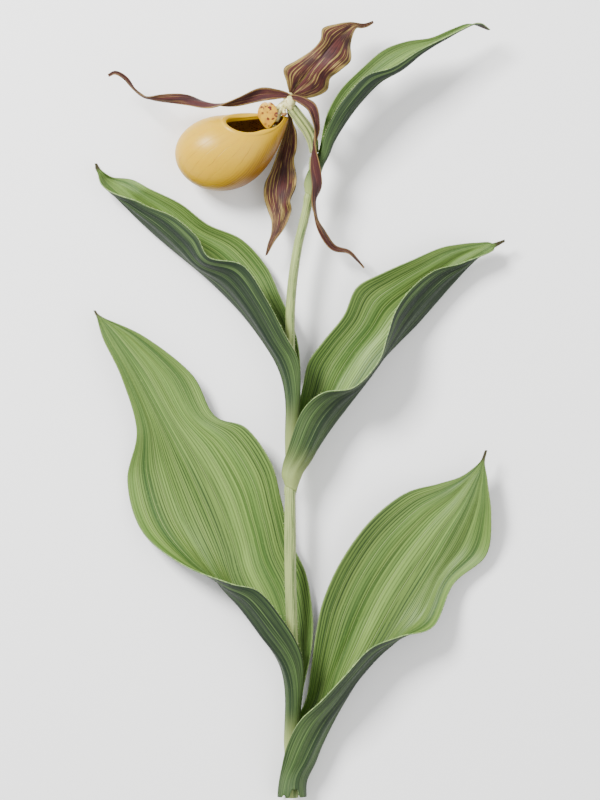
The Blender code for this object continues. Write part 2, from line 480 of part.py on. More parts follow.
def build():
    for obj in list(bpy.data.objects):
        bpy.data.objects.remove(obj, do_unlink=True)
    collection = bpy.data.collections.new("slipper_orchid")
    bpy.context.scene.collection.children.link(collection)

    tube("stem", STEM_AXIS, STEM_RADIUS, STEM_STEPS, STEM_SIDES, STEM_GREEN, collection, swellings=STEM_NODES_Y)

    leaves = {
        "leaf_lower_left": Leaf(
            LOWER_LEFT, -1, (3.0, 3.1), (1.5, 5.0), 0.5, [0.4, 0.3, 0.1, 0.05], [0.4, 0.14, 0.08, 0.05]
        ),
        "leaf_lower_right": Leaf(
            LOWER_RIGHT, 1, (5.9, 4.2), (0.8, 4.2), 0.5, [0.5, 0.4, 0.15, 0.1], [0.4, 0.14, 0.08, 0.05]
        ),
        "leaf_upper_left": Leaf(
            UPPER_LEFT, -1, (2.6, 2.7), (1.2, 4.0), 0.4, [0.4, 0.3, 0.1], [0.4, 0.12, 0.06]
        ),
        "leaf_upper_right": Leaf(
            UPPER_RIGHT, 1, (3.65, 3.65), (0.8, 4.0), 0.4, [0.4, 0.3, 0.1], [0.4, 0.12, 0.06]
        ),
    }
    for name, leaf in leaves.items():
        sheet(name, leaf.point, leaf.last, 16, 26, LEAF_THICKNESS, LEAF_GREEN, collection)
    bract = Leaf(BRACT, 1, (2.9, 3.1), (0.6, 2.6), 0.15, [0.4, 0.3, 0.1], [0.4, 0.2, 0.1])
    sheet("bract", bract.point, bract.last, 12, 22, LEAF_THICKNESS, LEAF_GREEN, collection)

    dorsal = Sepal(DORSAL_SEPAL, 1, (0.0, 0.0), (0.0, 0.0), 0.1, [0.1, 0.12, 0.0], [0.1, 0.12, 0.0])
    sheet("dorsal_sepal", dorsal.point, dorsal.last, 10, 20, PETAL_THICKNESS, PETAL_BROWN, collection)
    synsepal = Sepal(SYNSEPAL, 1, (0.0, 0.0), (0.0, 0.0), 0.1, [0.1, 0.12, 0.0], [0.1, 0.12, 0.0])
    sheet("synsepal", synsepal.point, synsepal.last, 10, 18, PETAL_THICKNESS, PETAL_BROWN, collection)

    petals = {
        "petal_left": (PETAL_LEFT, PETAL_LEFT_HALF_WIDTH, PETAL_LEFT_TURN),
        "petal_right": (PETAL_RIGHT, PETAL_RIGHT_HALF_WIDTH, PETAL_RIGHT_TURN),
    }
    for name, (axis, half_width, turn) in petals.items():
        def petal_point(u, s, axis=axis, half_width=half_width, turn=turn):
            return ribbon_point(axis, half_width, turn, 0.3, u, s)
        sheet(name, petal_point, len(axis) - 1, 6, 40, PETAL_THICKNESS, PETAL_BROWN, collection)

    tube("ovary", OVARY_AXIS, OVARY_RADIUS, 14, 24, STEM_GREEN, collection, OVARY_RIBS, OVARY_RIB_DEPTH)
    lip("lip", collection)
    tube("column", COLUMN_AXIS, COLUMN_RADIUS, 10, 14, CREAM, collection)
    shield = (STAMINODE_WIDTH / 2, STAMINODE_LENGTH / 2, STAMINODE_THICKNESS / 2)
    oval(
        "staminode", STAMINODE_CENTRE, shield, STAMINODE_TURN, STAMINODE_YELLOW, collection,
        dish=STAMINODE_DISH, taper=STAMINODE_TAPER, segments=20,
    )
    for side, centre in zip(("near", "far"), ANTHER_CENTRES):
        oval("anther_" + side, centre, ANTHER_RADII, (0.0, 0.0), CREAM, collection)
    oval("stigma", STIGMA_CENTRE, STIGMA_RADII, (0.0, 0.0), CREAM, collection)


build()
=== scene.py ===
"""The looks of a cut flowering shoot of the yellow lady's slipper orchid, lying on a pale table.

Every piece is modelled in millimetres. When it is finished it is moved by BOX_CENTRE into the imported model's frame,
whose origin is under the middle of the shoot, and turned into metres. The foot of the shoot points towards -Y, the
flower towards +Y, and the camera looks straight down.
"""

import logging
import math
import random
from dataclasses import dataclass, field, replace
from enum import Enum
from typing import Callable, Optional, Sequence, Union

import bmesh
import bpy
from mathutils import Matrix, Vector

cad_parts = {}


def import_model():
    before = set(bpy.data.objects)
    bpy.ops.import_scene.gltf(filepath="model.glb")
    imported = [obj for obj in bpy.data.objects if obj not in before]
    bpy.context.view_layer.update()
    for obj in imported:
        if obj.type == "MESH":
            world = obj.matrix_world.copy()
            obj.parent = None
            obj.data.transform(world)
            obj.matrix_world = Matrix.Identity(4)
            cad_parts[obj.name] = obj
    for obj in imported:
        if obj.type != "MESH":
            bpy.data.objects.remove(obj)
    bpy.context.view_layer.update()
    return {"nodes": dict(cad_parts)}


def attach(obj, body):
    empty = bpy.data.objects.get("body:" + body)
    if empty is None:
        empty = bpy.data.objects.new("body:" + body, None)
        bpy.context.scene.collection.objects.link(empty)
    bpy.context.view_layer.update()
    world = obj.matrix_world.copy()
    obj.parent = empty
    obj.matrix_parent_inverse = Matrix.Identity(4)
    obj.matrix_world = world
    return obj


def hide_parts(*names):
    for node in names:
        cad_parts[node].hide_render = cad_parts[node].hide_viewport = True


log = logging.getLogger("slipper_orchid")

MM = 0.001
BOX_CENTRE = Vector((0.03, -0.285, 0.0))
UP = Vector((0, 0, 1))
SEED = 7
WELD = 0.0001
# A curve's direction is read between the points this far behind and ahead, in its own parameter.
LOOK = 0.05
# A Mix node has several sockets of each name; these are the numbers of the ones that mix colours.
MIX_SHARE, MIX_FIRST, MIX_SECOND, MIX_RESULT = 0, 6, 7, 2

Triple = tuple[float, float, float]
Colour = tuple[float, float, float]
Span = tuple[float, float]
Station = tuple[Triple, ...]
Surface = Callable[[float, float], Vector]


class Side(Enum):
    """The side of the stem on which a leaf stands."""

    LEFT = -1
    RIGHT = 1


def smoothstep(low: float, high: float, x: float) -> float:
    """Eases from 0 at low to 1 at high."""
    f = min(max((x - low) / (high - low), 0.0), 1.0)
    return f * f * (3 - 2 * f)


def bell(x: float, width: float) -> float:
    """A smooth hump: 1 at 0, and nearly 0 beyond twice the width."""
    return math.exp(-((x / width) ** 2))


class Path:
    """A smooth curve through points, with one unit of its parameter from each point to the next."""

    def __init__(self, points: Sequence[Sequence[float]]) -> None:
        """Keeps the points that the curve passes through."""
        self.points = [Vector(p) for p in points]
        self.last = len(points) - 1

    def at(self, s: float) -> Vector:
        """Reads a point of the curve.

        Args:
            s: the parameter, from 0 to last.

        Returns:
            The point.
        """
        i = min(max(int(math.floor(s)), 0), self.last - 1)
        f = s - i
        p1, p2 = self.points[i], self.points[i + 1]
        p0 = self.points[i - 1] if i > 0 else p1 * 2 - p2
        p3 = self.points[i + 2] if i + 2 <= self.last else p2 * 2 - p1
        cubic = 3 * p1 - p0 - 3 * p2 + p3
        return 0.5 * (2 * p1 + (p2 - p0) * f + (2 * p0 - 5 * p1 + 4 * p2 - p3) * f * f + cubic * f**3)

    def ahead(self, s: float) -> Vector:
        """Direction of the curve at parameter s."""
        return (self.at(min(s + LOOK, self.last)) - self.at(max(s - LOOK, 0.0))).normalized()

    def ring_point(self, angle: float, s: float, radius: float) -> Vector:
        """Reads a point of a ring round the curve.

        Args:
            angle: how far round the ring, in radians.
            s: the parameter of the ring's centre.
            radius: the ring's radius.

        Returns:
            The point.
        """
        ahead = self.ahead(s)
        side = ahead.cross(UP).normalized()
        return self.at(s) + (side * math.cos(angle) + side.cross(ahead) * math.sin(angle)) * radius


class Profile:
    """A smooth run of numbers, read over any span."""

    def __init__(self, values: Sequence[float]) -> None:
        """Keeps the values, evenly spaced over the span."""
        self.path = Path([(v, 0.0, 0.0) for v in values])

    def at(self, share: float) -> float:
        """Value at a share of the span from 0 to 1."""
        return self.path.at(share * self.path.last).x


# Finishes


Number = Union[float, "Term"]
Paint = Union[Colour, bpy.types.NodeSocket]


class Term:
    """A number that varies over a surface; the usual operators add Math nodes to its material."""

    def __init__(self, shader: "Shader", socket: bpy.types.NodeSocket) -> None:
        """Wraps one output socket of a material's node."""
        self.shader = shader
        self.socket = socket

    def __add__(self, other: Number) -> "Term":
        """Sum."""
        return self.shader.math("ADD", self, other)

    def __sub__(self, other: Number) -> "Term":
        """Difference."""
        return self.shader.math("SUBTRACT", self, other)

    def __rsub__(self, other: Number) -> "Term":
        """Difference from a plain number."""
        return self.shader.math("SUBTRACT", other, self)

    def __mul__(self, other: Number) -> "Term":
        """Product."""
        return self.shader.math("MULTIPLY", self, other)

    def __abs__(self) -> "Term":
        """Size without its sign."""
        return self.shader.math("ABSOLUTE", self)

    def fract(self) -> "Term":
        """Part after the decimal point."""
        return self.shader.math("FRACT", self)

    def least(self, other: Number) -> "Term":
        """The smaller of two values."""
        return self.shader.math("MINIMUM", self, other)

    def ease(self, low: float, high: float) -> "Term":
        """Steps smoothly from 0 to 1.

        Args:
            low: where it is 0; it may be the larger.
            high: where it is 1.

        Returns:
            The step.
        """
        inputs = {"Value": self, "From Min": low, "From Max": high}
        node = self.shader.node("ShaderNodeMapRange", {"interpolation_type": "SMOOTHSTEP"}, inputs)
        return Term(self.shader, node.outputs["Result"])

    def line(self, width: float) -> "Term":
        """1 where the value is whole and 0 further than the width from it: a set of parallel lines."""
        return abs((self + 0.5).fract() - 0.5).ease(width, 0.0)


class Shader:
    """One material's nodes, built by expressions."""

    def __init__(self, name: str, roughness: float, **constants: float) -> None:
        """Makes the material with its Principled shader.

        Args:
            name: the material's name.
            roughness: the roughness all over, unless it is linked later.
            constants: other sockets that are the same all over, with underscores for spaces.
        """
        self.material = bpy.data.materials.new(name)
        self.material.use_nodes = True
        self.tree = self.material.node_tree
        self.surface = self.tree.nodes["Principled BSDF"]
        self.surface.inputs["Roughness"].default_value = roughness
        for socket, value in constants.items():
            self.surface.inputs[socket.replace("_", " ")].default_value = value

    def node(self, kind: str, settings: Optional[dict] = None, inputs: Optional[dict] = None) -> bpy.types.Node:
        """Adds one node.

        Args:
            kind: the node's type.
            settings: properties to set first, such as an operation.
            inputs: socket name or number to a value, a Term or a socket.

        Returns:
            The new node.
        """
        made = self.tree.nodes.new(kind)
        for key, value in (settings or {}).items():
            setattr(made, key, value)
        for key, value in (inputs or {}).items():
            self.feed(made.inputs[key], value)
        return made

    def feed(self, socket: bpy.types.NodeSocket, value: Union[Number, Paint]) -> None:
        """Gives a socket a value or a link.

        Args:
            socket: the socket to fill.
            value: a number, a colour, a Term or another socket.
        """
        if isinstance(value, Term):
            value = value.socket
        if isinstance(value, bpy.types.NodeSocket):
            self.tree.links.new(value, socket)
        elif isinstance(value, tuple) and socket.type == "RGBA":
            socket.default_value = (*value, 1.0)
        else:
            socket.default_value = value

    def math(self, operation: str, *values: Number) -> Term:
        """Adds a Math node."""
        node = self.node("ShaderNodeMath", {"operation": operation}, dict(enumerate(values)))
        return Term(self, node.outputs["Value"])

    def split(self, vector: bpy.types.NodeSocket) -> tuple[Term, Term, Term]:
        """The three numbers of a vector."""
        node = self.node("ShaderNodeSeparateXYZ", None, {"Vector": vector})
        return Term(self, node.outputs["X"]), Term(self, node.outputs["Y"]), Term(self, node.outputs["Z"])

    def join(self, x: Number, y: Number, z: Number = 0.0) -> bpy.types.NodeSocket:
        """A vector from three numbers."""
        return self.node("ShaderNodeCombineXYZ", None, {"X": x, "Y": y, "Z": z}).outputs["Vector"]

    def grid_place(self) -> tuple[Term, Term]:
        """Place on the piece's own map: across it and along it, each from 0 to 1."""
        across, along, _ = self.split(self.node("ShaderNodeUVMap", {"uv_map": "place"}).outputs["UV"])
        return across, along

    def attribute(self, name: str) -> bpy.types.NodeSocket:
        """A vector kept at each vertex of the mesh."""
        return self.node("ShaderNodeAttribute", {"attribute_name": name}).outputs["Vector"]

    def object_place(self) -> bpy.types.NodeSocket:
        """Place in the object's own frame, in metres."""
        return self.node("ShaderNodeTexCoord").outputs["Object"]

    def noise(
        self, place: bpy.types.NodeSocket, scale: float = 1.0, detail: float = 3.0, rough: float = 0.55
    ) -> Term:
        """Cloudy noise from 0 to 1."""
        inputs = {"Vector": place, "Scale": scale, "Detail": detail, "Roughness": rough}
        return Term(self, self.node("ShaderNodeTexNoise", None, inputs).outputs["Fac"])

    def spots(self, place: bpy.types.NodeSocket, scale: float = 1.0) -> Term:
        """Distance to the nearest of many scattered points."""
        node = self.node("ShaderNodeTexVoronoi", None, {"Vector": place, "Scale": scale})
        return Term(self, node.outputs["Distance"])

    def blend(self, first: Paint, second: Paint, share: Number) -> bpy.types.NodeSocket:
        """Mixes two colours."""
        inputs = {MIX_SHARE: share, MIX_FIRST: first, MIX_SECOND: second}
        return self.node("ShaderNodeMix", {"data_type": "RGBA"}, inputs).outputs[MIX_RESULT]

    def relief(self, height: Term, depth: float, strength: float = 1.0) -> None:
        """Raises the surface by a height from 0 to 1 times the depth in millimetres."""
        inputs = {"Height": height, "Distance": depth * MM, "Strength": strength}
        self.feed(self.surface.inputs["Normal"], self.node("ShaderNodeBump", None, inputs).outputs["Normal"])

    def paint(self, colour: Paint) -> None:
        """Sets the base colour."""
        self.feed(self.surface.inputs["Base Color"], colour)

    def gloss(self, roughness: Term) -> None:
        """Lets the roughness vary."""
        self.feed(self.surface.inputs["Roughness"], roughness)


@dataclass(frozen=True)
class LeafFinish:
    """One face of a ribbed leaf: streaks, fine veins and main nerves that run from foot to tip.

    A span is where along the leaf, from 0 at its foot to 1 at its tip, something starts and where it is complete.
    """

    name: str
    light: Colour
    mid: Colour
    deep: Colour
    nerve: Colour
    nerves: float = 12.0
    veins: float = 48.0
    roughness: float = 0.42
    hatch: float = 0.9
    # Strength of the painted shade: broad random dark bands that stand in for the shading of the leaf's folds.
    shade_bands: float = 0.3
    # Strength of the painted shadow over the folded-over flaps near the foot, and where along the leaf it lies.
    flap_shadow: float = 0.0
    flap_shadow_span: Span = (0.12, 0.28)
    foot: Colour = (0.31, 0.38, 0.12)
    foot_fade: float = 0.0
    foot_span: Span = (0.13, 0.0)
    tip: Colour = (0.035, 0.022, 0.010)
    tip_fade: float = 0.92
    tip_span: Span = (0.865, 0.92)

    def material(self) -> bpy.types.Material:
        """Builds the material.

        Returns:
            The new material.
        """
        sh = Shader(self.name, self.roughness, Specular_IOR_Level=0.3)
        across, along = sh.grid_place()
        broad = sh.noise(sh.join(across * 9.0, along * 1.6), detail=2.0)
        streaks = sh.noise(sh.join(across * 70.0, along * 3.0))
        strokes = sh.noise(sh.join(across * 150.0, along * 7.0, 3.0), detail=2.0, rough=0.6)
        grain = sh.noise(sh.object_place(), scale=900.0, detail=2.0)
        wavy = across + (streaks - 0.5) * 0.006
        shade = sh.noise(sh.join(across * 5.0, along * 1.3, 9.0), detail=2.0).ease(0.38, 0.62)
        veins = (wavy * self.veins).line(0.34) * strokes.ease(0.36, 0.52)
        nerves = (wavy * self.nerves).line(0.055)
        flanks = (wavy * self.nerves).line(0.2)
        tone = (broad * 0.75 + streaks * 0.35).ease(0.35, 0.75)
        colour = sh.blend(self.mid, self.light, tone)
        colour = sh.blend(colour, self.deep, (flanks * 0.35 + streaks.ease(0.52, 0.3) * 0.4).least(1.0))
        # Painted shade: broad random dark bands stand in for the shading of the leaf's folds, and the fine veins are
        # darker inside them.
        colour = sh.blend(colour, self.deep, shade * self.shade_bands)
        colour = sh.blend(colour, self.deep, veins * (shade * 0.4 + 0.6) * self.hatch)
        colour = sh.blend(colour, self.nerve, nerves * 0.7)
        colour = sh.blend(colour, self.light, grain.ease(0.55, 0.75) * 0.12)
        # Painted shadow: the deep colour laid over streaky patches near the foot, standing in for the shade on the
        # folded-over flaps.
        flap_shadow = along.ease(*self.flap_shadow_span) * streaks.ease(0.66, 0.46) * self.flap_shadow
        colour = sh.blend(colour, self.deep, flap_shadow)
        colour = sh.blend(colour, self.foot, along.ease(*self.foot_span) * self.foot_fade)
        sh.paint(sh.blend(colour, self.tip, along.ease(*self.tip_span) * self.tip_fade))
        height = 1.0 - nerves * 0.6 - veins * 0.45 + streaks * 0.3 + grain * 0.12
        sh.relief(height, depth=0.16, strength=0.8)
        sh.gloss(grain * 0.15 + veins * 0.12 + (self.roughness - 0.06))
        return sh.material


@dataclass(frozen=True)
class PetalFinish:
    """A sepal or petal: a greenish ground under dense purple-brown streaks.

    The cover is how much of the ground the streaks hide, and pale_edge how much less they do at the margins.
    """

    name: str
    ground: Colour
    streak: Colour
    dark: Colour
    streaks: float = 34.0
    cover: float = 0.5
    pale_edge: float = 0.6
    roughness: float = 0.6

    def material(self) -> bpy.types.Material:
        """Builds the material.

        Returns:
            The new material.
        """
        sh = Shader(self.name, self.roughness, Specular_IOR_Level=0.25, Sheen_Weight=0.05)
        across, along = sh.grid_place()
        long_noise = sh.noise(sh.join(across * self.streaks, along * 4.0), rough=0.6)
        fine_noise = sh.noise(sh.join(across * self.streaks * 3.2, along * 9.0, 5.0), detail=2.0)
        edge = abs(across - 0.5).ease(0.34, 0.5)
        veins = (across * (self.streaks * 0.62) + (fine_noise - 0.5) * 0.3).line(0.28)
        hidden = self.cover * 0.4
        share = (long_noise - edge * self.pale_edge * 0.35).ease(0.62 - hidden, 0.72 - hidden)
        colour = sh.blend(self.ground, self.streak, share)
        colour = sh.blend(colour, self.dark, veins * fine_noise.ease(0.35, 0.6) * 0.85)
        patches = sh.noise(sh.join(across * 3.0, along * 9.0, 2.0), detail=2.0).ease(0.45, 0.62)
        colour = sh.blend(colour, self.dark, patches * 0.55)
        sh.paint(sh.blend(colour, self.dark, fine_noise.ease(0.5, 0.7) * 0.6))
        sh.relief(1.0 - veins * 0.7 + fine_noise * 0.5, depth=0.12, strength=0.8)
        return sh.material


@dataclass(frozen=True)
class LipFinish:
    """The slipper's waxy yellow wall, with faint veins round it and red spots inside its mouth."""

    name: str = "slipper_yellow"
    light: Colour = (0.53, 0.31, 0.002)
    deep: Colour = (0.36, 0.16, 0.002)
    vein: Colour = (0.13, 0.040, 0.003)
    spot: Colour = (0.17, 0.008, 0.006)
    spotted: float = 0.0
    veins_round: float = 26.0
    strokes_round: float = 96.0

    def material(self) -> bpy.types.Material:
        """Builds the material.

        Returns:
            The new material.
        """
        sh = Shader(
            self.name, 0.42, Specular_IOR_Level=0.3, Coat_Weight=0.08, Coat_Roughness=0.25, Subsurface_Weight=0.05,
            Subsurface_Scale=0.001,
        )
        round_x, round_y, polar = sh.split(sh.attribute("flow"))
        angle = sh.math("ARCTAN2", round_y, round_x)
        place = sh.object_place()
        cloud = sh.noise(place, scale=90.0)
        grain = sh.noise(place, scale=1400.0, detail=2.0)
        streak = sh.noise(sh.join(round_x * 9.0, round_y * 9.0, polar * 1.6), detail=4.0, rough=0.6)
        veins = (angle * (self.veins_round / math.tau) + (cloud - 0.5) * 0.8).line(0.05) * polar.ease(0.5, 1.2)
        toeward, _, upward = sh.split(sh.attribute("form"))
        # Painted shade: this mask grows towards the heel and the underside, where the wall lies in shade; there it
        # darkens the ground and draws the wall's real veins as dense dark strokes.
        foot = (toeward * -0.62 - upward * 0.78).ease(0.25, 0.85)
        # Painted shade: this mask marks the lower edge of the toe, where the vein strokes are drawn darker as shade.
        toe_shade = (toeward * 0.75 - upward * 0.66).ease(0.72, 1.0)
        strokes = (angle * (self.strokes_round / math.tau) + (cloud - 0.5) * 1.2).line(0.42)
        strokes = strokes * streak.ease(0.3, 0.46)
        dots = sh.spots(sh.join(round_x * 14.0, round_y * 14.0, polar * 22.0)).ease(0.34, 0.2)
        colour = sh.blend(self.light, self.deep, (foot * 0.8 + streak.ease(0.45, 0.7) * 0.12).least(1.0))
        colour = sh.blend(colour, self.vein, veins * streak.ease(0.4, 0.65) * 0.45)
        colour = sh.blend(colour, self.vein, (strokes * foot * 0.9 + foot * foot * 0.3).least(1.0))
        colour = sh.blend(colour, self.vein, strokes * toe_shade * 0.45)
        sh.paint(sh.blend(colour, self.spot, dots * self.spotted))
        sh.relief(cloud * 0.6 - veins * 0.35 + grain * 0.12, depth=0.35, strength=0.5)
        return sh.material


@dataclass(frozen=True)
class StalkFinish:
    """A green stalk: fine lengthwise lines, a downy surface, and painted shade in dashes down one flank, if any."""

    name: str
    light: Colour
    deep: Colour
    lines: float = 16.0
    stretch: float = 60.0
    # Strength of the painted shade in the valleys between the ovary's ribs.
    groove_shade: float = 0.0
    # Strength and place of the painted shade down one flank.
    shaded_flank: float = 0.0
    shaded_flank_place: float = 0.67

    def material(self) -> bpy.types.Material:
        """Builds the material.

        Returns:
            The new material.
        """
        sh = Shader(self.name, 0.55, Specular_IOR_Level=0.35, Sheen_Weight=0.2)
        across, along = sh.grid_place()
        streaks = sh.noise(sh.join(across * 40.0, along * self.stretch * 0.4))
        grain = sh.noise(sh.object_place(), scale=1500.0, detail=2.0)
        lines = (across * self.lines + (streaks - 0.5) * 0.25).line(0.16)
        colour = sh.blend(self.light, self.deep, (streaks.ease(0.4, 0.7) * 0.5 + lines * 0.5).least(1.0))
        # Painted shade: the deep colour in six lengthwise valleys, which lie between the ovary's ribs, where shade
        # falls.
        valley_shade = (across * 6.0 + 0.5).line(0.3) * self.groove_shade
        # Painted shade: dashes of the deep colour down one flank, standing in for the shade along that side of the
        # stalk.
        shaded_flank = abs(across - self.shaded_flank_place).ease(0.055, 0.015) * streaks.ease(0.4, 0.52) * self.shaded_flank
        colour = sh.blend(sh.blend(colour, self.deep, valley_shade), self.deep, shaded_flank)
        sh.paint(sh.blend(colour, self.light, grain.ease(0.5, 0.7) * 0.22))
        sh.relief(1.0 - lines * 0.6 + streaks * 0.4 + grain * 0.3, depth=0.1, strength=0.8)
        return sh.material


@dataclass(frozen=True)
class SpottedFinish:
    """A small flower part: a soft ground with lines of red-brown spots."""

    name: str
    ground: Colour
    shade: Colour
    spot: Colour
    spot_scale: float = 1100.0
    spot_share: float = 0.7
    spot_reach: float = 0.42

    def material(self) -> bpy.types.Material:
        """Builds the material.

        Returns:
            The new material.
        """
        sh = Shader(self.name, 0.4, Specular_IOR_Level=0.4)
        place = sh.object_place()
        cloud = sh.noise(place, scale=500.0)
        reach = self.spot_reach
        dots = sh.spots(place, self.spot_scale).ease(reach * 0.8, reach * 0.55) * cloud.ease(0.42, 0.5)
        colour = sh.blend(self.ground, self.shade, cloud.ease(0.35, 0.7))
        sh.paint(sh.blend(colour, self.spot, dots * self.spot_share))
        sh.relief(cloud + dots * 0.3, depth=0.06, strength=0.5)
        return sh.material


@dataclass(frozen=True)
class PlainFinish:
    """A small plain surface with a little mottling."""

    name: str
    light: Colour
    deep: Colour
    scale: float = 900.0
    roughness: float = 0.6

    def material(self) -> bpy.types.Material:
        """Builds the material.

        Returns:
            The new material.
        """
        sh = Shader(self.name, self.roughness)
        cloud = sh.noise(sh.object_place(), self.scale)
        sh.paint(sh.blend(self.light, self.deep, cloud.ease(0.35, 0.65)))
        sh.relief(cloud, depth=0.08, strength=0.6)
        return sh.material


Finish = Union[LeafFinish, PetalFinish, LipFinish, StalkFinish, SpottedFinish, PlainFinish]

LEAF_TOP = LeafFinish(
    "leaf_top", light=(0.22, 0.34, 0.07), mid=(0.062, 0.14, 0.022), deep=(0.006, 0.022, 0.005),
    nerve=(0.26, 0.37, 0.10), roughness=0.5,
)
# Painted shade: the underside's colours are far darker than the top's, standing in for the shade the undersides lie
# in; its shade bands and flap shadow are stronger too.
LEAF_UNDER_SHADED = LeafFinish(
    "leaf_underside_shaded", light=(0.095, 0.165, 0.042), mid=(0.022, 0.054, 0.012), deep=(0.002, 0.009, 0.003),
    nerve=(0.15, 0.22, 0.075), roughness=0.58, hatch=1.0, shade_bands=0.6, flap_shadow=0.85, foot_fade=0.9,
)
LOWEST_UNDER_SHADED = replace(LEAF_UNDER_SHADED, name="leaf_underside_lowest_shaded", foot_fade=0.0)
LEAF_EDGE = PlainFinish("leaf_edge", light=(0.24, 0.34, 0.10), deep=(0.10, 0.19, 0.05))
STALK = StalkFinish("stalk_green", light=(0.31, 0.38, 0.12), deep=(0.06, 0.11, 0.022), shaded_flank=0.9)
OVARY_SKIN = StalkFinish(
    "ovary_green", light=(0.34, 0.38, 0.12), deep=(0.045, 0.075, 0.014), lines=12.0, stretch=12.0, groove_shade=0.9
)
CUT_PITH = PlainFinish("cut_pith", light=(0.60, 0.62, 0.34), deep=(0.26, 0.31, 0.11))
DARK_PETAL = PetalFinish(
    "petal_brown", ground=(0.27, 0.16, 0.045), streak=(0.062, 0.011, 0.010), dark=(0.010, 0.002, 0.003),
    streaks=16.0, cover=0.7,
)
SEPAL_BROWN = PetalFinish(
    "sepal_brown", ground=(0.30, 0.21, 0.055), streak=(0.070, 0.015, 0.012), dark=(0.011, 0.002, 0.003),
    streaks=26.0, cover=0.6,
)
SLIPPER = LipFinish()
SLIPPER_INSIDE = LipFinish(
    "slipper_inside", light=(0.34, 0.15, 0.008), deep=(0.17, 0.055, 0.004), vein=(0.09, 0.022, 0.004),
    spot=(0.06, 0.004, 0.003), spotted=0.9,
)
SHIELD = SpottedFinish(
    "shield_yellow", ground=(0.55, 0.31, 0.008), shade=(0.46, 0.21, 0.010), spot=(0.09, 0.004, 0.003),
    spot_scale=420.0, spot_share=1.0, spot_reach=0.62,
)
COLUMN_CREAM = SpottedFinish(
    "column_cream", ground=(0.70, 0.66, 0.32), shade=(0.42, 0.40, 0.13), spot=(0.22, 0.02, 0.012),
    spot_scale=1400.0,
)
POLLEN = PlainFinish("pollen_brown", light=(0.26, 0.11, 0.02), deep=(0.06, 0.018, 0.008))
DOWN = PlainFinish("pale_down", light=(0.60, 0.64, 0.38), deep=(0.42, 0.48, 0.22))


class Finishes:
    """The materials made so far, one for each finish."""

    made: dict[str, bpy.types.Material] = {}

    @classmethod
    def get(cls, finish: Finish) -> bpy.types.Material:
        """Finds a finish's material, and builds it the first time it is asked for.

        Args:
            finish: the finish.

        Returns:
            Its material.
        """
        if finish.name not in cls.made:
            cls.made[finish.name] = finish.material()
        return cls.made[finish.name]


# Pieces


def map_places(bm: bmesh.types.BMesh) -> None:
    """Writes each corner's place on the flat grid, from 0 to 1, as the piece's map, before the grid is bent.

    Args:
        bm: the flat grid, from -1 to 1 both ways.
    """
    layer = bm.loops.layers.uv.new("place")
    for face in bm.faces:
        for loop in face.loops:
            loop[layer].uv = ((loop.vert.co.x + 1) / 2, (loop.vert.co.y + 1) / 2)


def publish(
    name: str, bm: bmesh.types.BMesh, finishes: Sequence[Finish], slot: str, replaces: str = ""
) -> bpy.types.Object:
    """Turns a bmesh in millimetres into a finished piece that rides on the shoot.

    Args:
        name: the piece's name.
        bm: its shape in millimetres; it is freed.
        finishes: the finish of each material slot.
        slot: the piece's material slot; it is not used.
        replaces: the CAD node that the piece stands for, if any.

    Returns:
        The new object.
    """
    bmesh.ops.transform(bm, matrix=Matrix.Scale(MM, 4) @ Matrix.Translation(-BOX_CENTRE), verts=bm.verts)
    mesh = bpy.data.meshes.new(name)
    bm.to_mesh(mesh)
    bm.free()
    mesh.shade_smooth()
    for finish in finishes:
        mesh.materials.append(Finishes.get(finish))
    piece = bpy.data.objects.new(name, mesh)
    bpy.context.scene.collection.objects.link(piece)
    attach(piece, "root")
    if replaces:
        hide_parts(replaces)
    log.info("%s: %d faces", name, len(mesh.polygons))
    return piece


def thicken(piece: bpy.types.Object, thickness: float, offset: float, under: int = 0, rim: int = 0) -> None:
    """Gives a sheet its thickness.

    Args:
        piece: the sheet.
        thickness: in millimetres.
        offset: 0 for both ways, -1 for against the normals.
        under: how many material slots further the new face's finish is.
        rim: the same for the rim.
    """
    wall = piece.modifiers.new("wall", "SOLIDIFY")
    wall.thickness = thickness * MM
    wall.offset = offset
    wall.material_offset = under
    wall.material_offset_rim = rim


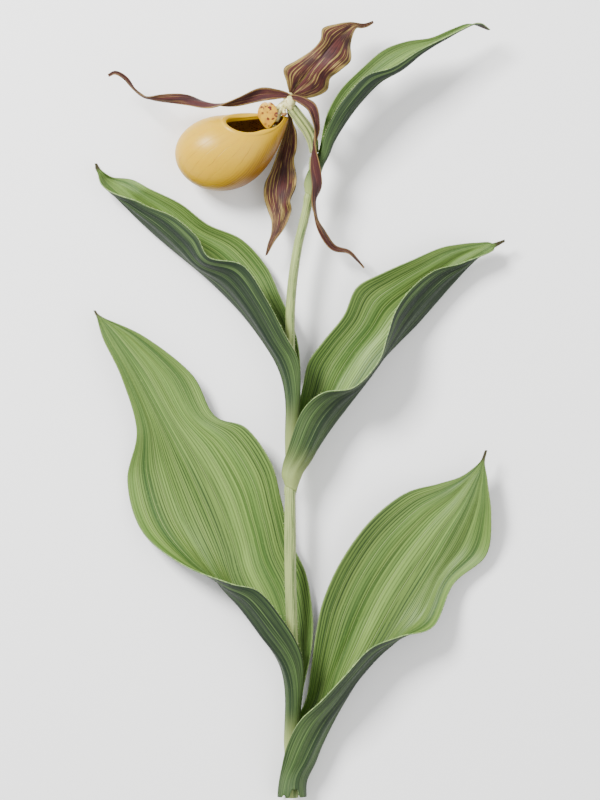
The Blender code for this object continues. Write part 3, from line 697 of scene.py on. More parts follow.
@dataclass
class Stem:
    """The stem from its cut foot to the ovary, swollen a little at its nodes."""

    axis: Station = (
        (-3.0, -156.0, 6.2), (-3.0, -145.0, 6.4), (-3.0, -135.0, 6.9), (-2.3, -118.5, 8.4), (-2.3, -102.5, 9.7),
        (-3.0, -84.5, 11.0), (-3.5, -66.5, 12.2), (-3.6, -46.5, 13.0), (-3.5, -26.5, 13.5), (-2.9, -12.5, 13.8),
        (-2.6, -0.5, 14.0), (-3.0, 13.5, 14.0), (-3.5, 25.5, 14.0), (-3.5, 39.0, 14.0), (-2.5, 52.0, 14.0),
        (-0.5, 65.0, 14.2), (1.9, 75.0, 14.4), (3.9, 84.0, 14.5), (5.2, 92.5, 14.6), (6.0, 100.5, 14.8),
    )
    radii: tuple[float, ...] = (
        2.6, 2.5, 2.2, 2.1, 2.1, 2.2, 2.3, 2.3, 2.0, 1.8, 1.7, 1.7, 1.8, 1.9, 1.9, 1.8, 1.8, 1.8, 1.8, 1.8,
    )
    nodes_y: tuple[float, ...] = (-140.2, -32.4, -22.8, 84.2)
    node_swelling: float = 0.4
    node_length: float = 1.6
    ridges: int = 7
    ridge_depth: float = 0.035

    def __post_init__(self) -> None:
        """Makes the smooth axis and radius."""
        self.path = Path(self.axis)
        self.radius = Profile(self.radii)

    def centre_at(self, y: float) -> Vector:
        """Finds the middle of the stem where it crosses a line.

        Args:
            y: the line's place along the shoot.

        Returns:
            The middle, on the straight lines between the axis's points.
        """
        for low, high in zip(self.axis, self.axis[1:]):
            if y <= high[1] or high is self.axis[-1]:
                f = (y - low[1]) / (high[1] - low[1])
                return Vector((low[0] + (high[0] - low[0]) * f, y, low[2] + (high[2] - low[2]) * f))
        return Vector(self.axis[-1])

    def swelling(self, y: float) -> float:
        """How much thicker the nodes make the stem at y."""
        return self.node_swelling * sum(bell(y - node_y, self.node_length) for node_y in self.nodes_y)

    def radius_at(self, y: float) -> float:
        """Finds the radius of the stem, its swollen nodes included.

        Args:
            y: the place along the shoot.

        Returns:
            The radius there.
        """
        s = next((i for i, p in enumerate(self.axis) if p[1] > y), len(self.axis) - 1) - 1
        share = (s + (y - self.axis[s][1]) / (self.axis[s + 1][1] - self.axis[s][1])) / self.path.last
        return self.radius.at(share) + self.swelling(y)

    def surface(self, angle: float, s: float) -> Vector:
        """Point on the skin, for an angle round the stem and a parameter along it."""
        r = self.radius.at(s / self.path.last) * (1 + self.ridge_depth * math.cos(self.ridges * angle))
        return self.path.ring_point(angle, s, r + self.swelling(self.path.at(s).y))

    def build(self) -> None:
        """Makes the stem."""
        bm = rolled_grid(self.surface, self.path.last, sides=28, steps=300)
        publish("stem_skin", bm, (STALK, CUT_PITH), "stem", "stem")


def rolled_grid(point: Surface, last: float, sides: int, steps: int) -> bmesh.types.BMesh:
    """A closed tube: a grid rolled round a curve, welded at its seam and filled at both ends.

    Args:
        point: gives the point for an angle in radians and a parameter.
        last: the largest parameter.
        sides: faces round the tube.
        steps: faces along it.

    Returns:
        The tube; its end caps use the second material slot.
    """
    bm = bmesh.new()
    bmesh.ops.create_grid(bm, x_segments=sides, y_segments=steps, size=1.0)
    map_places(bm)
    for vert in bm.verts:
        vert.co = point(math.pi * vert.co.x, (vert.co.y + 1) / 2 * last)
    bmesh.ops.remove_doubles(bm, verts=bm.verts, dist=WELD)
    caps = bmesh.ops.holes_fill(bm, edges=[e for e in bm.edges if e.is_boundary], sides=0)["faces"]
    for face in caps:
        face.material_index = 1
    bmesh.ops.recalc_face_normals(bm, faces=bm.faces)
    return bm


@dataclass
class Blade:
    """A sheet with a midrib and two margins: a sepal, or the open part of a leaf.

    Each station is a point of the keel and of the near and far margins beside it; the last one is the tip alone.
    The arches are how far each half bulges, in shares of its width, and the pleat and the wave are in millimetres.
    A half narrower than the widths given bulges and folds less. The tip flattens between two distances from it.
    """

    name: str
    stations: tuple[Station, ...]
    side: Side
    near_arch: tuple[float, ...]
    far_arch: tuple[float, ...]
    pleat: float
    ribs: float = 2.5
    wave: float = 0.0
    waves: float = 3.0
    wave_offset: float = 0.17
    across: int = 84
    along: int = 200
    crowding: float = 1.25
    thickness: float = 0.45
    tip_half_width: float = 0.5
    flattens: Span = (1.9, 0.3)
    flat_fold: float = math.radians(88)
    arch_widths: Span = (1.0, 5.0)
    pleat_widths: Span = (3.0, 12.0)
    pleat_reach: float = 1.15
    slot: str = "petal"
    finishes: tuple[Finish, ...] = (SEPAL_BROWN, SEPAL_BROWN, SEPAL_BROWN)

    def __post_init__(self) -> None:
        """Makes the smooth keel and margins; the margins meet at the tip."""
        keel = [Vector(s[0]) for s in self.stations]
        near = [Vector(s[1]) for s in self.stations[:-1]]
        far = [Vector(s[2]) for s in self.stations[:-1]]
        for margin in (near, far):
            margin.append(keel[-1] + (margin[-1] - keel[-2]).normalized() * self.tip_half_width)
        self.keel, self.near, self.far = Path(keel), Path(near), Path(far)
        self.last = self.keel.last
        self.near_bulge, self.far_bulge = Profile(self.near_arch), Profile(self.far_arch)

    def chord(self, half: int, keel: Vector, s: float) -> Vector:
        """Finds the straight line from the keel to a margin; the two halves open flat towards the tip.

        Args:
            half: 1 for the near half and -1 for the far one.
            keel: the keel's point at the same parameter.
            s: the parameter along the blade.

        Returns:
            The way from the keel to the margin.
        """
        near = self.near.at(s) - keel
        far = self.far.at(s) - keel
        middle = (near.normalized() + far.normalized()).normalized()
        aside = (near.normalized() - far.normalized()).normalized()
        fold = near.angle(far) / 2
        opening = smoothstep(self.last - self.flattens[0], self.last - self.flattens[1], s)
        fold += max(self.flat_fold - fold, 0.0) * opening
        return (middle * math.cos(fold) + aside * (math.sin(fold) * half)) * (near if half > 0 else far).length

    def blade_point(self, u: float, s: float) -> Vector:
        """Finds a point of the blade.

        Args:
            u: the place across, from the far margin at -1 over the keel to the near margin at 1.
            s: the parameter along the blade.

        Returns:
            The point.
        """
        keel = self.keel.at(s)
        half = 1 if u > 0 else -1
        chord = self.chord(half, keel, s)
        v = abs(u)
        outwards = self.keel.ahead(s).cross(chord) * (self.side.value * half)
        if outwards.length > 1e-9:
            outwards.normalize()
        share = s / self.last
        arch = (self.near_bulge if u > 0 else self.far_bulge).at(share)
        bulge = arch * chord.length * smoothstep(*self.arch_widths, chord.length) * 4 * v * (1 - v)
        fade = smoothstep(*self.pleat_widths, chord.length)
        fold = math.sin(math.pi * min(v * self.pleat_reach, 1.0)) * math.cos(2 * math.pi * self.ribs * v)
        ripple = self.wave * v**3 * math.sin(2 * math.pi * (self.waves * share + self.wave_offset * half))
        return keel + chord * v + outwards * (bulge + (self.pleat * fold + ripple) * fade)

    def point(self, u: float, s: float) -> Vector:
        """Point of the middle surface."""
        return self.blade_point(u, s)

    def build(self) -> None:
        """Makes the sheet with its upper side towards the stem."""
        bm = bmesh.new()
        bmesh.ops.create_grid(bm, x_segments=self.across, y_segments=self.along, size=1.0)
        map_places(bm)
        for vert in bm.verts:
            vert.co = self.point(vert.co.x, self.last * (1 - (1 - (vert.co.y + 1) / 2) ** self.crowding))
        if self.side is Side.LEFT:
            bmesh.ops.reverse_faces(bm, faces=bm.faces)
        piece = publish(self.name + "_sheet", bm, self.finishes, self.slot, self.name)
        thicken(piece, self.thickness, offset=0.0, under=1, rim=2)


@dataclass
class Leaf(Blade):
    """A clasping leaf: a sheath round the stem that opens into a pleated blade folded along its keel.

    A leaf that hugs starts on the stem's own skin with a slanted foot. One that does not is cut off with the stem, and
    its foot may have notches, each given as its place and half width across the leaf and its depth.
    """

    stem: Stem = field(default_factory=Stem)
    sheath_radius: Span = (3.0, 3.0)
    opens: Span = (1.0, 4.0)
    flattens: Span = (2.9, 1.3)
    half_wrap: float = math.radians(158)
    hugs: bool = True
    hug_gap: float = 0.28
    hug_end: float = 0.8
    foot_slant: float = 3.5
    slant_end: float = 1.0
    notches: tuple[Triple, ...] = ()
    notch_flat: float = 0.4
    notch_end: float = 0.6
    table_gap: float = 0.05
    slot: str = "leaf"
    finishes: tuple[Finish, ...] = (LEAF_TOP, LEAF_UNDER_SHADED, LEAF_EDGE)

    def sheath_point(self, u: float, s: float) -> Vector:
        """Finds a point of the tube round the stem.

        Args:
            u: the place round it: 0 at the keel, and 1 at the margin that passes above the stem.
            s: the parameter along the leaf.

        Returns:
            The point.
        """
        centre = self.stem.centre_at(self.keel.at(s).y)
        start, end = self.sheath_radius
        radius = start + (end - start) * smoothstep(0.0, self.opens[1], s)
        if self.hugs:
            foot = self.stem.radius_at(centre.y) + self.hug_gap
            radius = foot + (radius - foot) * smoothstep(0.0, self.hug_end, s)
            slant = -self.foot_slant * (1 - abs(u)) * (1 - smoothstep(0.0, self.slant_end, s))
        else:
            cut = sum(
                deep * smoothstep(wide, wide * self.notch_flat, abs(u - place)) for place, wide, deep in self.notches
            )
            slant = cut * (1 - smoothstep(0.0, self.notch_end, s))
        angle = abs(u) * self.half_wrap
        up = math.sin(angle) * (1 if u > 0 else -1)
        return centre + Vector((self.side.value * math.cos(angle) * radius, slant, up * radius))

    def point(self, u: float, s: float) -> Vector:
        """Finds a point of the middle surface, kept above the table.

        Args:
            u: the place across the leaf, from -1 to 1.
            s: the parameter along it.

        Returns:
            The point.
        """
        weight = smoothstep(self.opens[0], self.opens[1], s)
        p = self.sheath_point(u, s).lerp(self.blade_point(u, s), weight)
        p.z = max(p.z, self.thickness / 2 + self.table_gap)
        return p


@dataclass
class Petal:
    """A narrow lateral petal: a ribbon that turns about its own centreline, from a claw inside the flower's base."""

    name: str
    axis: Station
    half_width: tuple[float, ...]
    turn: tuple[float, ...]
    cup: float = 0.35
    wave: float = 0.25
    waves: int = 7
    wave_offset: float = 1.3
    waved_width: float = 2.0
    rib_height: float = 0.12
    rib_width: float = 0.12
    across: int = 26
    along: int = 320
    thickness: float = 0.42
    root: Triple = (-3.7, 123.3, 17.0)
    root_share: float = 0.8

    def __post_init__(self) -> None:
        """Makes the smooth centreline, width and turn."""
        self.path = Path((self.root,) + self.axis)
        self.width_profile = Profile((self.half_width[0] * self.root_share,) + self.half_width)
        self.turn_profile = Profile(self.turn[:1] + self.turn)

    def point(self, u: float, s: float) -> Vector:
        """Finds a point of the middle surface.

        Args:
            u: the place across the ribbon, from -1 to 1.
            s: the parameter along it.

        Returns:
            The point.
        """
        path = self.path
        share = s / path.last
        ahead = path.ahead(s)
        across = ahead.cross(UP).normalized()
        lift = across.cross(ahead)
        angle = math.radians(self.turn_profile.at(share))
        width_way = across * math.cos(angle) + lift * math.sin(angle)
        face_way = lift * math.cos(angle) - across * math.sin(angle)
        w = self.width_profile.at(share)
        rib = self.rib_height * bell(u, self.rib_width)
        phase = 2 * math.pi * self.waves * share + (self.wave_offset if u > 0 else 0.0)
        ripple = self.wave * abs(u) ** 2 * math.sin(phase) * min(w, self.waved_width) / self.waved_width
        return path.at(s) + width_way * (w * u) + face_way * (self.cup * w * u * u + ripple - rib)

    def build(self) -> None:
        """Makes the petal."""
        bm = bmesh.new()
        bmesh.ops.create_grid(bm, x_segments=self.across, y_segments=self.along, size=1.0)
        map_places(bm)
        for vert in bm.verts:
            vert.co = self.point(vert.co.x, (vert.co.y + 1) / 2 * self.path.last)
        piece = publish(self.name + "_ribbon", bm, (DARK_PETAL,), "petal", self.name)
        thicken(piece, self.thickness, offset=0.0)


@dataclass
class Ovary:
    """The ribbed ovary between the stem and the flower."""

    axis: Station = (
        (6.1, 102.3, 14.9), (5.4, 107.0, 15.0), (3.6, 111.2, 15.0), (1.2, 114.6, 15.0), (-1.0, 117.6, 15.0),
        (-2.6, 119.8, 15.0), (-3.6, 121.6, 15.0),
    )
    radii: tuple[float, ...] = (1.6, 2.0, 2.2, 2.2, 2.1, 2.0, 1.5)
    ribs: int = 6
    rib_depth: float = 0.13

    def __post_init__(self) -> None:
        """Makes the smooth axis and radius."""
        self.path = Path(self.axis)
        self.radius = Profile(self.radii)

    def surface(self, angle: float, s: float) -> Vector:
        """Point on the skin, for an angle round the ovary and a parameter along it."""
        r = self.radius.at(s / self.path.last) * (1 + self.rib_depth * math.cos(self.ribs * angle))
        return self.path.ring_point(angle, s, r)

    def build(self) -> None:
        """Makes the ovary."""
        bm = rolled_grid(self.surface, self.path.last, sides=72, steps=60)
        publish("ovary_skin", bm, (OVARY_SKIN, OVARY_SKIN), "ovary", "ovary")


@dataclass
class Lip:
    """The slipper: an inflated pouch with its mouth on top and the margin of the mouth rolled inwards.

    Its directions are towards the toe, across and up. The mouth's margin rolls less at the heel, by heel_roll.
    """

    centre: Triple = (-30.8, 102.8, 13.45)
    toe: float = 18.8
    heel: float = 26.6
    up: float = 14.6
    down: float = 15.8
    half_width: float = 13.9
    heel_rise: float = 8.4
    claw_rise: float = 2.6
    heel_taper: float = 0.52
    toe_way: Triple = (-1.0, -0.09, 0.0)
    roll: float = math.radians(20)
    mouth_tilt: float = math.radians(38)
    mouth_lean: float = math.radians(17)
    meridians: int = 168
    parallels: int = 120
    mouth_parallels: int = 24
    wall: float = 0.5
    roll_radius: float = 1.2
    roll_steps: int = 12
    roll_turn: float = math.radians(205)
    skirt: float = 1.6
    keel_height: float = 0.35
    keel_width: float = 0.05
    keel_span: Span = (0.1, -0.5)
    roll_flatness: float = 0.7
    heel_roll: float = 0.72
    heel_span: Span = (0.25, 0.85)
    skirt_steps: int = 3
    skirt_creep: float = 0.1
    mouth_slack: float = 0.005
    rolled_flow: float = 0.12

    def __post_init__(self) -> None:
        """Finds the lip's own directions."""
        self.toe_dir = Vector(self.toe_way).normalized()
        flat_up = Vector((self.toe_dir.y, -self.toe_dir.x, 0.0))
        self.up_dir = flat_up * math.cos(self.roll) + Vector((0, 0, math.sin(self.roll)))
        self.across_dir = Vector((0, 0, math.cos(self.roll))) - flat_up * math.sin(self.roll)
        over = self.up_dir * math.cos(self.mouth_lean) + self.across_dir * math.sin(self.mouth_lean)
        self.mouth_dir = over * math.cos(self.mouth_tilt) - self.toe_dir * math.sin(self.mouth_tilt)

    def outside(self, d: Vector) -> Vector:
        """Finds a point of the outside.

        Args:
            d: a unit direction given as (toe, across, up).

        Returns:
            The point.
        """
        heel = max(-d.x, 0.0)
        shrink = 1 - self.heel_taper * heel**4
        length = self.toe if d.x > 0 else self.heel
        height = self.up if d.z > 0 else self.down
        rise = self.heel_rise * heel**2 + self.claw_rise * heel**8
        keel = self.keel_height * bell(d.y, self.keel_width) * smoothstep(*self.keel_span, d.z)
        p = Vector(self.centre) + self.toe_dir * (d.x * length) + self.across_dir * (d.y * self.half_width * shrink)
        return p + self.up_dir * (d.z * (height + keel) * shrink) + Vector((0.0, rise, 0.0))

    def margin_steps(self) -> list[Triple]:
        """Lists the steps of the rolled margin and of the skirt that hangs from it.

        Returns:
            For each step the millimetres inwards and outwards, and how far the roll has gone.
        """
        steps = []
        for i in range(1, self.roll_steps + 1):
            turn = self.roll_turn * i / self.roll_steps
            inwards = self.roll_radius * (1 - math.cos(turn))
            outwards = self.roll_radius * math.sin(turn) * self.roll_flatness
            steps.append((inwards, outwards, i / self.roll_steps))
        inwards, outwards, _ = steps[-1]
        for k in range(1, self.skirt_steps + 1):
            steps.append((inwards + self.skirt_creep, outwards - self.skirt * k / self.skirt_steps, 1.0))
        return steps

    def open_sphere(self, bm: bmesh.types.BMesh, mouth_angle: float) -> None:
        """Opens the sphere at its mouth, turns it and keeps where each vertex is on it.

        Args:
            bm: the sphere, with its poles up and down.
            mouth_angle: the angle from the pole to the mouth's margin.
        """
        flow = bm.verts.layers.float_vector.new("flow")
        form = bm.verts.layers.float_vector.new("form")
        cap = [v for v in bm.verts if v.co.z > math.cos(mouth_angle - self.mouth_slack)]
        bmesh.ops.delete(bm, geom=cap, context="VERTS")
        for vert in bm.verts:
            around = math.atan2(vert.co.y, vert.co.x)
            vert[flow] = Vector((math.cos(around), math.sin(around), math.acos(max(min(vert.co.z, 1.0), -1.0))))
        lean = Matrix.Rotation(-self.mouth_lean, 3, "X") @ Matrix.Rotation(-self.mouth_tilt, 3, "Y")
        bmesh.ops.rotate(bm, verts=bm.verts, matrix=lean)
        for vert in bm.verts:
            vert[form] = vert.co.normalized()

    def roll_margin(self, bm: bmesh.types.BMesh, mouth_angle: float) -> None:
        """Draws the margin of the mouth inwards edge by edge.

        Args:
            bm: the shaped pouch, open at its mouth.
            mouth_angle: the angle from the pole to the mouth's margin on the first sphere.
        """
        flow, form = bm.verts.layers.float_vector["flow"], bm.verts.layers.float_vector["form"]
        edges = [e for e in bm.edges if e.is_boundary]
        rim = [v for v in bm.verts if v.is_boundary]
        middle = sum((v.co for v in rim), Vector()) / len(rim)
        farthest = max((v.co - middle).dot(-self.toe_dir) for v in rim)
        start = {}
        for vert in rim:
            arm = vert.co - middle
            share = 1 - self.heel_roll * smoothstep(*self.heel_span, arm.dot(-self.toe_dir) / farthest)
            inwards = -(arm - self.mouth_dir * arm.dot(self.mouth_dir)).normalized()
            start[vert] = (vert.co.copy(), inwards, share)
        for inset, outset, done in self.margin_steps():
            grown = bmesh.ops.extrude_edge_only(bm, edges=edges)["geom"]
            edges = [g for g in grown if isinstance(g, bmesh.types.BMEdge) and g.is_boundary]
            moved = {}
            for vert in (g for g in grown if isinstance(g, bmesh.types.BMVert)):
                old = [e.other_vert(vert) for e in vert.link_edges if e.other_vert(vert) in start]
                source = min(old, key=lambda o: (o.co - vert.co).length_squared)
                moved[vert] = start[source]
                vert[flow] = Vector((source[flow].x, source[flow].y, mouth_angle - self.rolled_flow * done))
                vert[form] = source[form].copy()
            for vert, (origin, inwards, share) in moved.items():
                vert.co = origin + (inwards * inset + self.mouth_dir * outset) * share
            start = moved

    def build(self) -> None:
        """Makes the pouch from a sphere, and gives it its wall."""
        bm = bmesh.new()
        bmesh.ops.create_uvsphere(bm, u_segments=self.meridians, v_segments=self.parallels, radius=1.0)
        mouth_angle = math.pi * self.mouth_parallels / self.parallels
        self.open_sphere(bm, mouth_angle)
        for vert in bm.verts:
            vert.co = self.outside(vert.co.normalized())
        self.roll_margin(bm, mouth_angle)
        for vert in bm.verts:
            vert.co.z = max(vert.co.z, 0.0)
        bmesh.ops.recalc_face_normals(bm, faces=bm.faces)
        piece = publish("lip_pouch", bm, (SLIPPER, SLIPPER_INSIDE), "lip", "lip")
        thicken(piece, self.wall, offset=-1.0, under=1)


@dataclass
class FlowerHeart:
    """The column with its arms, shield, anthers and stigma, on the flower's base.

    A groove, a notch or a cleft is given as its depth and width, and its span is where it starts and is complete.
    """

    column_axis: Station = (
        (-4.6, 122.4, 15.6), (-6.2, 121.3, 15.2), (-7.4, 120.0, 15.1), (-8.7, 117.6, 14.8), (-9.3, 114.8, 14.2),
    )
    column_radii: tuple[float, ...] = (1.7, 1.7, 1.75, 1.6, 1.1)
    arms: tuple[Station, ...] = (
        ((-7.2, 120.2, 15.8), (-8.8, 120.2, 16.9), (-10.8, 119.2, 17.6)),
        ((-6.4, 120.6, 15.6), (-6.0, 119.4, 16.6), (-5.9, 117.9, 16.9)),
        ((-6.8, 120.4, 14.4), (-7.2, 119.6, 13.2), (-7.4, 118.5, 12.4)),
    )
    arm_radius: float = 0.75
    shield_centre: Triple = (-12.6, 117.2, 17.8)
    shield_radii: Triple = (4.2, 5.5, 0.45)
    shield_turn: tuple[float, float] = (math.radians(11), math.radians(-12))
    shield_dish: float = 0.5
    shield_taper: float = 0.42
    shield_groove: Span = (0.3, 0.16)
    groove_span: Span = (0.9, 0.2)
    shield_notch: Span = (0.1, 0.2)
    notch_span: Span = (0.6, 1.0)
    anther_centres: tuple[Triple, Triple] = ((-5.9, 117.7, 16.9), (-7.4, 118.4, 12.3))
    anther_radii: Triple = (1.2, 0.9, 0.7)
    anther_cleft: Span = (0.25, 0.15)
    base_centre: Triple = (-3.9, 122.6, 16.0)
    base_radii: Triple = (2.5, 3.5, 2.9)
    base_lobes: int = 5
    base_lobe_depth: float = 0.10
    stigma_centre: Triple = (-9.5, 112.6, 13.6)
    stigma_radii: Triple = (1.5, 1.1, 1.3)

    def oval(
        self, centre: Triple, shape: Callable[[Vector], Vector], detail: int, turn: Span = (0.0, 0.0)
    ) -> bmesh.types.BMesh:
        """Puts a sphere through a shape, turns it and places it.

        Args:
            centre: where its middle goes.
            shape: gives the new point for a point of the unit sphere.
            detail: faces from pole to pole; there are twice as many round it.
            turn: the angles about X and then Y.

        Returns:
            The oval.
        """
        bm = bmesh.new()
        bmesh.ops.create_uvsphere(bm, u_segments=detail * 2, v_segments=detail, radius=1.0)
        for vert in bm.verts:
            vert.co = shape(vert.co)
        spin = Matrix.Rotation(turn[0], 3, "X") @ Matrix.Rotation(turn[1], 3, "Y")
        bmesh.ops.rotate(bm, verts=bm.verts, matrix=spin)
        bmesh.ops.translate(bm, verts=bm.verts, vec=Vector(centre))
        bmesh.ops.recalc_face_normals(bm, faces=bm.faces)
        return bm

    def tube(self, points: Station, radii: Sequence[float], sides: int, steps: int) -> bmesh.types.BMesh:
        """Rolls a closed tube round a line of points.

        Args:
            points: the points that its middle passes through.
            radii: its radii, evenly spaced from end to end.
            sides: faces round it.
            steps: faces along it.

        Returns:
            The tube.
        """
        path, radius = Path(points), Profile(radii)
        return rolled_grid(
            lambda angle, s: path.ring_point(angle, s, radius.at(s / path.last)), path.last, sides, steps
        )

    def shield_shape(self, co: Vector) -> Vector:
        """Shapes the shield: domed, grooved down its middle, notched at its foot and drawn in at its tip.

        Args:
            co: a point of the unit sphere.

        Returns:
            The shield's point.
        """
        x, y, z = co
        side = x * (1 - self.shield_taper * max(-y, 0.0))
        groove = self.shield_groove[0] * bell(x, self.shield_groove[1]) * smoothstep(*self.groove_span, abs(y))
        notch = self.shield_notch[0] * bell(x, self.shield_notch[1]) * smoothstep(*self.notch_span, y)
        rx, ry, rz = self.shield_radii
        lift = -self.shield_dish * (x * x + 0.5 * y * y) - groove
        return Vector((side * rx, (y - notch) * ry, z * rz + lift))

    def base_shape(self, co: Vector) -> Vector:
        """Shapes the flower's base: a small lobed knob that the petals, sepals and ovary grow from.

        Args:
            co: a point of the unit sphere.

        Returns:
            The knob's point.
        """
        rx, ry, rz = self.base_radii
        equator = math.sqrt(max(1 - co.z * co.z, 0.0))
        lobes = 1 + self.base_lobe_depth * math.cos(self.base_lobes * math.atan2(co.y, co.x)) * equator
        return Vector((co.x * rx * lobes, co.y * ry * lobes, co.z * rz))

    def anther_shape(self, co: Vector) -> Vector:
        """Shapes an anther: an oval with a cleft across it.

        Args:
            co: a point of the unit sphere.

        Returns:
            The anther's point.
        """
        rx, ry, rz = self.anther_radii
        cleft = 1 - self.anther_cleft[0] * bell(co.y, self.anther_cleft[1])
        return Vector((co.x * rx, co.y * ry, co.z * rz * cleft))

    def stigma_shape(self, co: Vector) -> Vector:
        """The stigma's point for a point of the unit sphere."""
        rx, ry, rz = self.stigma_radii
        return Vector((co.x * rx, co.y * ry, co.z * rz))

    def build(self) -> None:
        """Makes the heart of the flower."""
        column = self.tube(self.column_axis, self.column_radii, sides=36, steps=30)
        publish("column_stalk", column, (COLUMN_CREAM, COLUMN_CREAM), "column", "column")
        base = self.oval(self.base_centre, self.base_shape, detail=40)
        publish("flower_base", base, (COLUMN_CREAM,), "column")
        for name, points in zip(("shield_arm", "anther_arm_near", "anther_arm_far"), self.arms):
            arm = self.tube(points, (self.arm_radius, self.arm_radius), sides=16, steps=14)
            publish(name, arm, (COLUMN_CREAM, COLUMN_CREAM), "column")
        shield = self.oval(self.shield_centre, self.shield_shape, detail=40, turn=self.shield_turn)
        publish("staminode_shield", shield, (SHIELD,), "staminode", "staminode")
        for side, centre in zip(("near", "far"), self.anther_centres):
            anther = self.oval(centre, self.anther_shape, detail=18)
            publish("anther_" + side + "_pollen", anther, (POLLEN,), "column", "anther_" + side)
        stigma = self.oval(self.stigma_centre, self.stigma_shape, detail=18)
        publish("stigma_disc", stigma, (COLUMN_CREAM,), "column", "stigma")


@dataclass
class Down:
    """Short pale hairs, each a slender three-sided cone, gathered in one piece."""

    name: str
    slot: str
    length: float = 0.8
    width: float = 0.07
    point_width: float = 0.012
    lengths: Span = (0.6, 1.15)
    lean: float = 0.35
    middle: float = 0.42

    def build(self, roots: Sequence[tuple[Vector, Vector]]) -> None:
        """Makes the hairs.

        Args:
            roots: for each hair its foot and the direction in which it stands.
        """
        bm = bmesh.new()
        for foot, way in roots:
            reach = self.length * random.uniform(*self.lengths)
            lean = Vector([random.uniform(-self.lean, self.lean) for _ in range(3)])
            turn = (way.normalized() + lean).to_track_quat("Z", "Y").to_matrix().to_4x4()
            place = Matrix.Translation(foot) @ turn @ Matrix.Translation((0, 0, reach * self.middle))
            bmesh.ops.create_cone(
                bm, cap_ends=True, segments=3, radius1=self.width, radius2=self.point_width, depth=reach, matrix=place
            )
        publish(self.name, bm, (DOWN,), self.slot)


LOWER_LEFT = (
    ((-5.0, -137.0, 6.9), (0.5, -137.0, 7.0), (0.5, -137.0, 6.5)),
    ((-5.0, -130.5, 7.3), (0.5, -130.5, 8.0), (0.5, -130.5, 7.0)),
    ((-5.5, -122.5, 7.8), (1.5, -121.0, 9.0), (1.5, -121.0, 7.0)),
    ((-6.0, -112.5, 7.6), (2.5, -110.0, 12.0), (3.5, -111.5, 6.0)),
    ((-9.0, -101.0, 5.8), (1.0, -97.5, 16.5), (5.5, -98.5, 5.0)),
    ((-15.0, -90.0, 3.5), (-5.5, -84.5, 19.5), (5.5, -83.5, 4.2)),
    ((-21.0, -80.5, 1.8), (-15.5, -72.5, 20.5), (3.0, -67.0, 4.5)),
    ((-27.0, -69.5, 0.6), (-28.0, -69.5, 19.0), (-3.0, -53.5, 6.0)),
    ((-31.0, -56.5, 0.5), (-47.0, -62.2, 14.0), (-7.0, -37.5, 9.5)),
    ((-37.0, -41.0, 2.0), (-63.0, -49.0, 7.0), (-11.0, -21.5, 13.0)),
    ((-45.0, -23.0, 5.0), (-69.0, -29.0, 4.0), (-21.0, -7.5, 12.0)),
    ((-55.0, -3.5, 8.0), (-65.0, -9.0, 9.0), (-34.0, -2.5, 8.0)),
    ((-65.0, 14.5, 9.5), (-71.0, 12.5, 11.0), (-43.0, 14.0, 9.0)),
    ((-74.0, 28.5, 9.0), (-78.4, 27.8, 9.5), (-62.0, 28.5, 11.0)),
    ((-79.9, 36.8, 7.6), (-81.2, 36.8, 7.7), (-78.6, 36.8, 7.8)),
    ((-82.0, 39.5, 7.0),),
)
LOWER_RIGHT = (
    ((3.0, -155.5, 6.6), (-9.0, -155.5, 6.6), (-9.0, -155.5, 6.6)),
    ((5.0, -147.0, 6.0), (-7.5, -146.5, 8.0), (-7.5, -146.5, 5.0)),
    ((8.5, -137.0, 5.0), (-5.0, -136.0, 14.0), (-4.5, -135.0, 2.0)),
    ((13.5, -126.5, 3.8), (0.5, -125.0, 18.0), (-1.0, -125.0, 1.0)),
    ((19.0, -116.5, 2.6), (8.5, -116.5, 20.0), (3.0, -116.5, 1.5)),
    ((25.0, -107.0, 1.6), (18.0, -105.5, 20.5), (5.0, -103.5, 3.5)),
    ((31.5, -99.0, 0.8), (28.0, -95.5, 20.0), (7.0, -90.0, 6.0)),
    ((37.5, -90.0, 0.4), (41.0, -91.0, 17.0), (10.0, -76.5, 8.5)),
    ((44.0, -79.0, 1.0), (54.0, -87.0, 12.5), (17.0, -60.5, 11.0)),
    ((51.5, -66.5, 3.0), (61.8, -70.2, 7.5), (28.0, -45.0, 12.0)),
    ((59.0, -53.0, 6.0), (75.0, -59.0, 6.0), (42.0, -34.0, 11.0)),
    ((66.5, -39.5, 8.5), (77.0, -43.0, 9.5), (56.0, -30.0, 9.5)),
    ((71.5, -28.0, 9.5), (75.5, -29.5, 10.5), (66.0, -26.5, 9.0)),
    ((73.8, -21.5, 9.2), (74.4, -21.5, 9.4), (72.2, -21.5, 9.2)),
    ((75.0, -16.5, 9.0),),
)
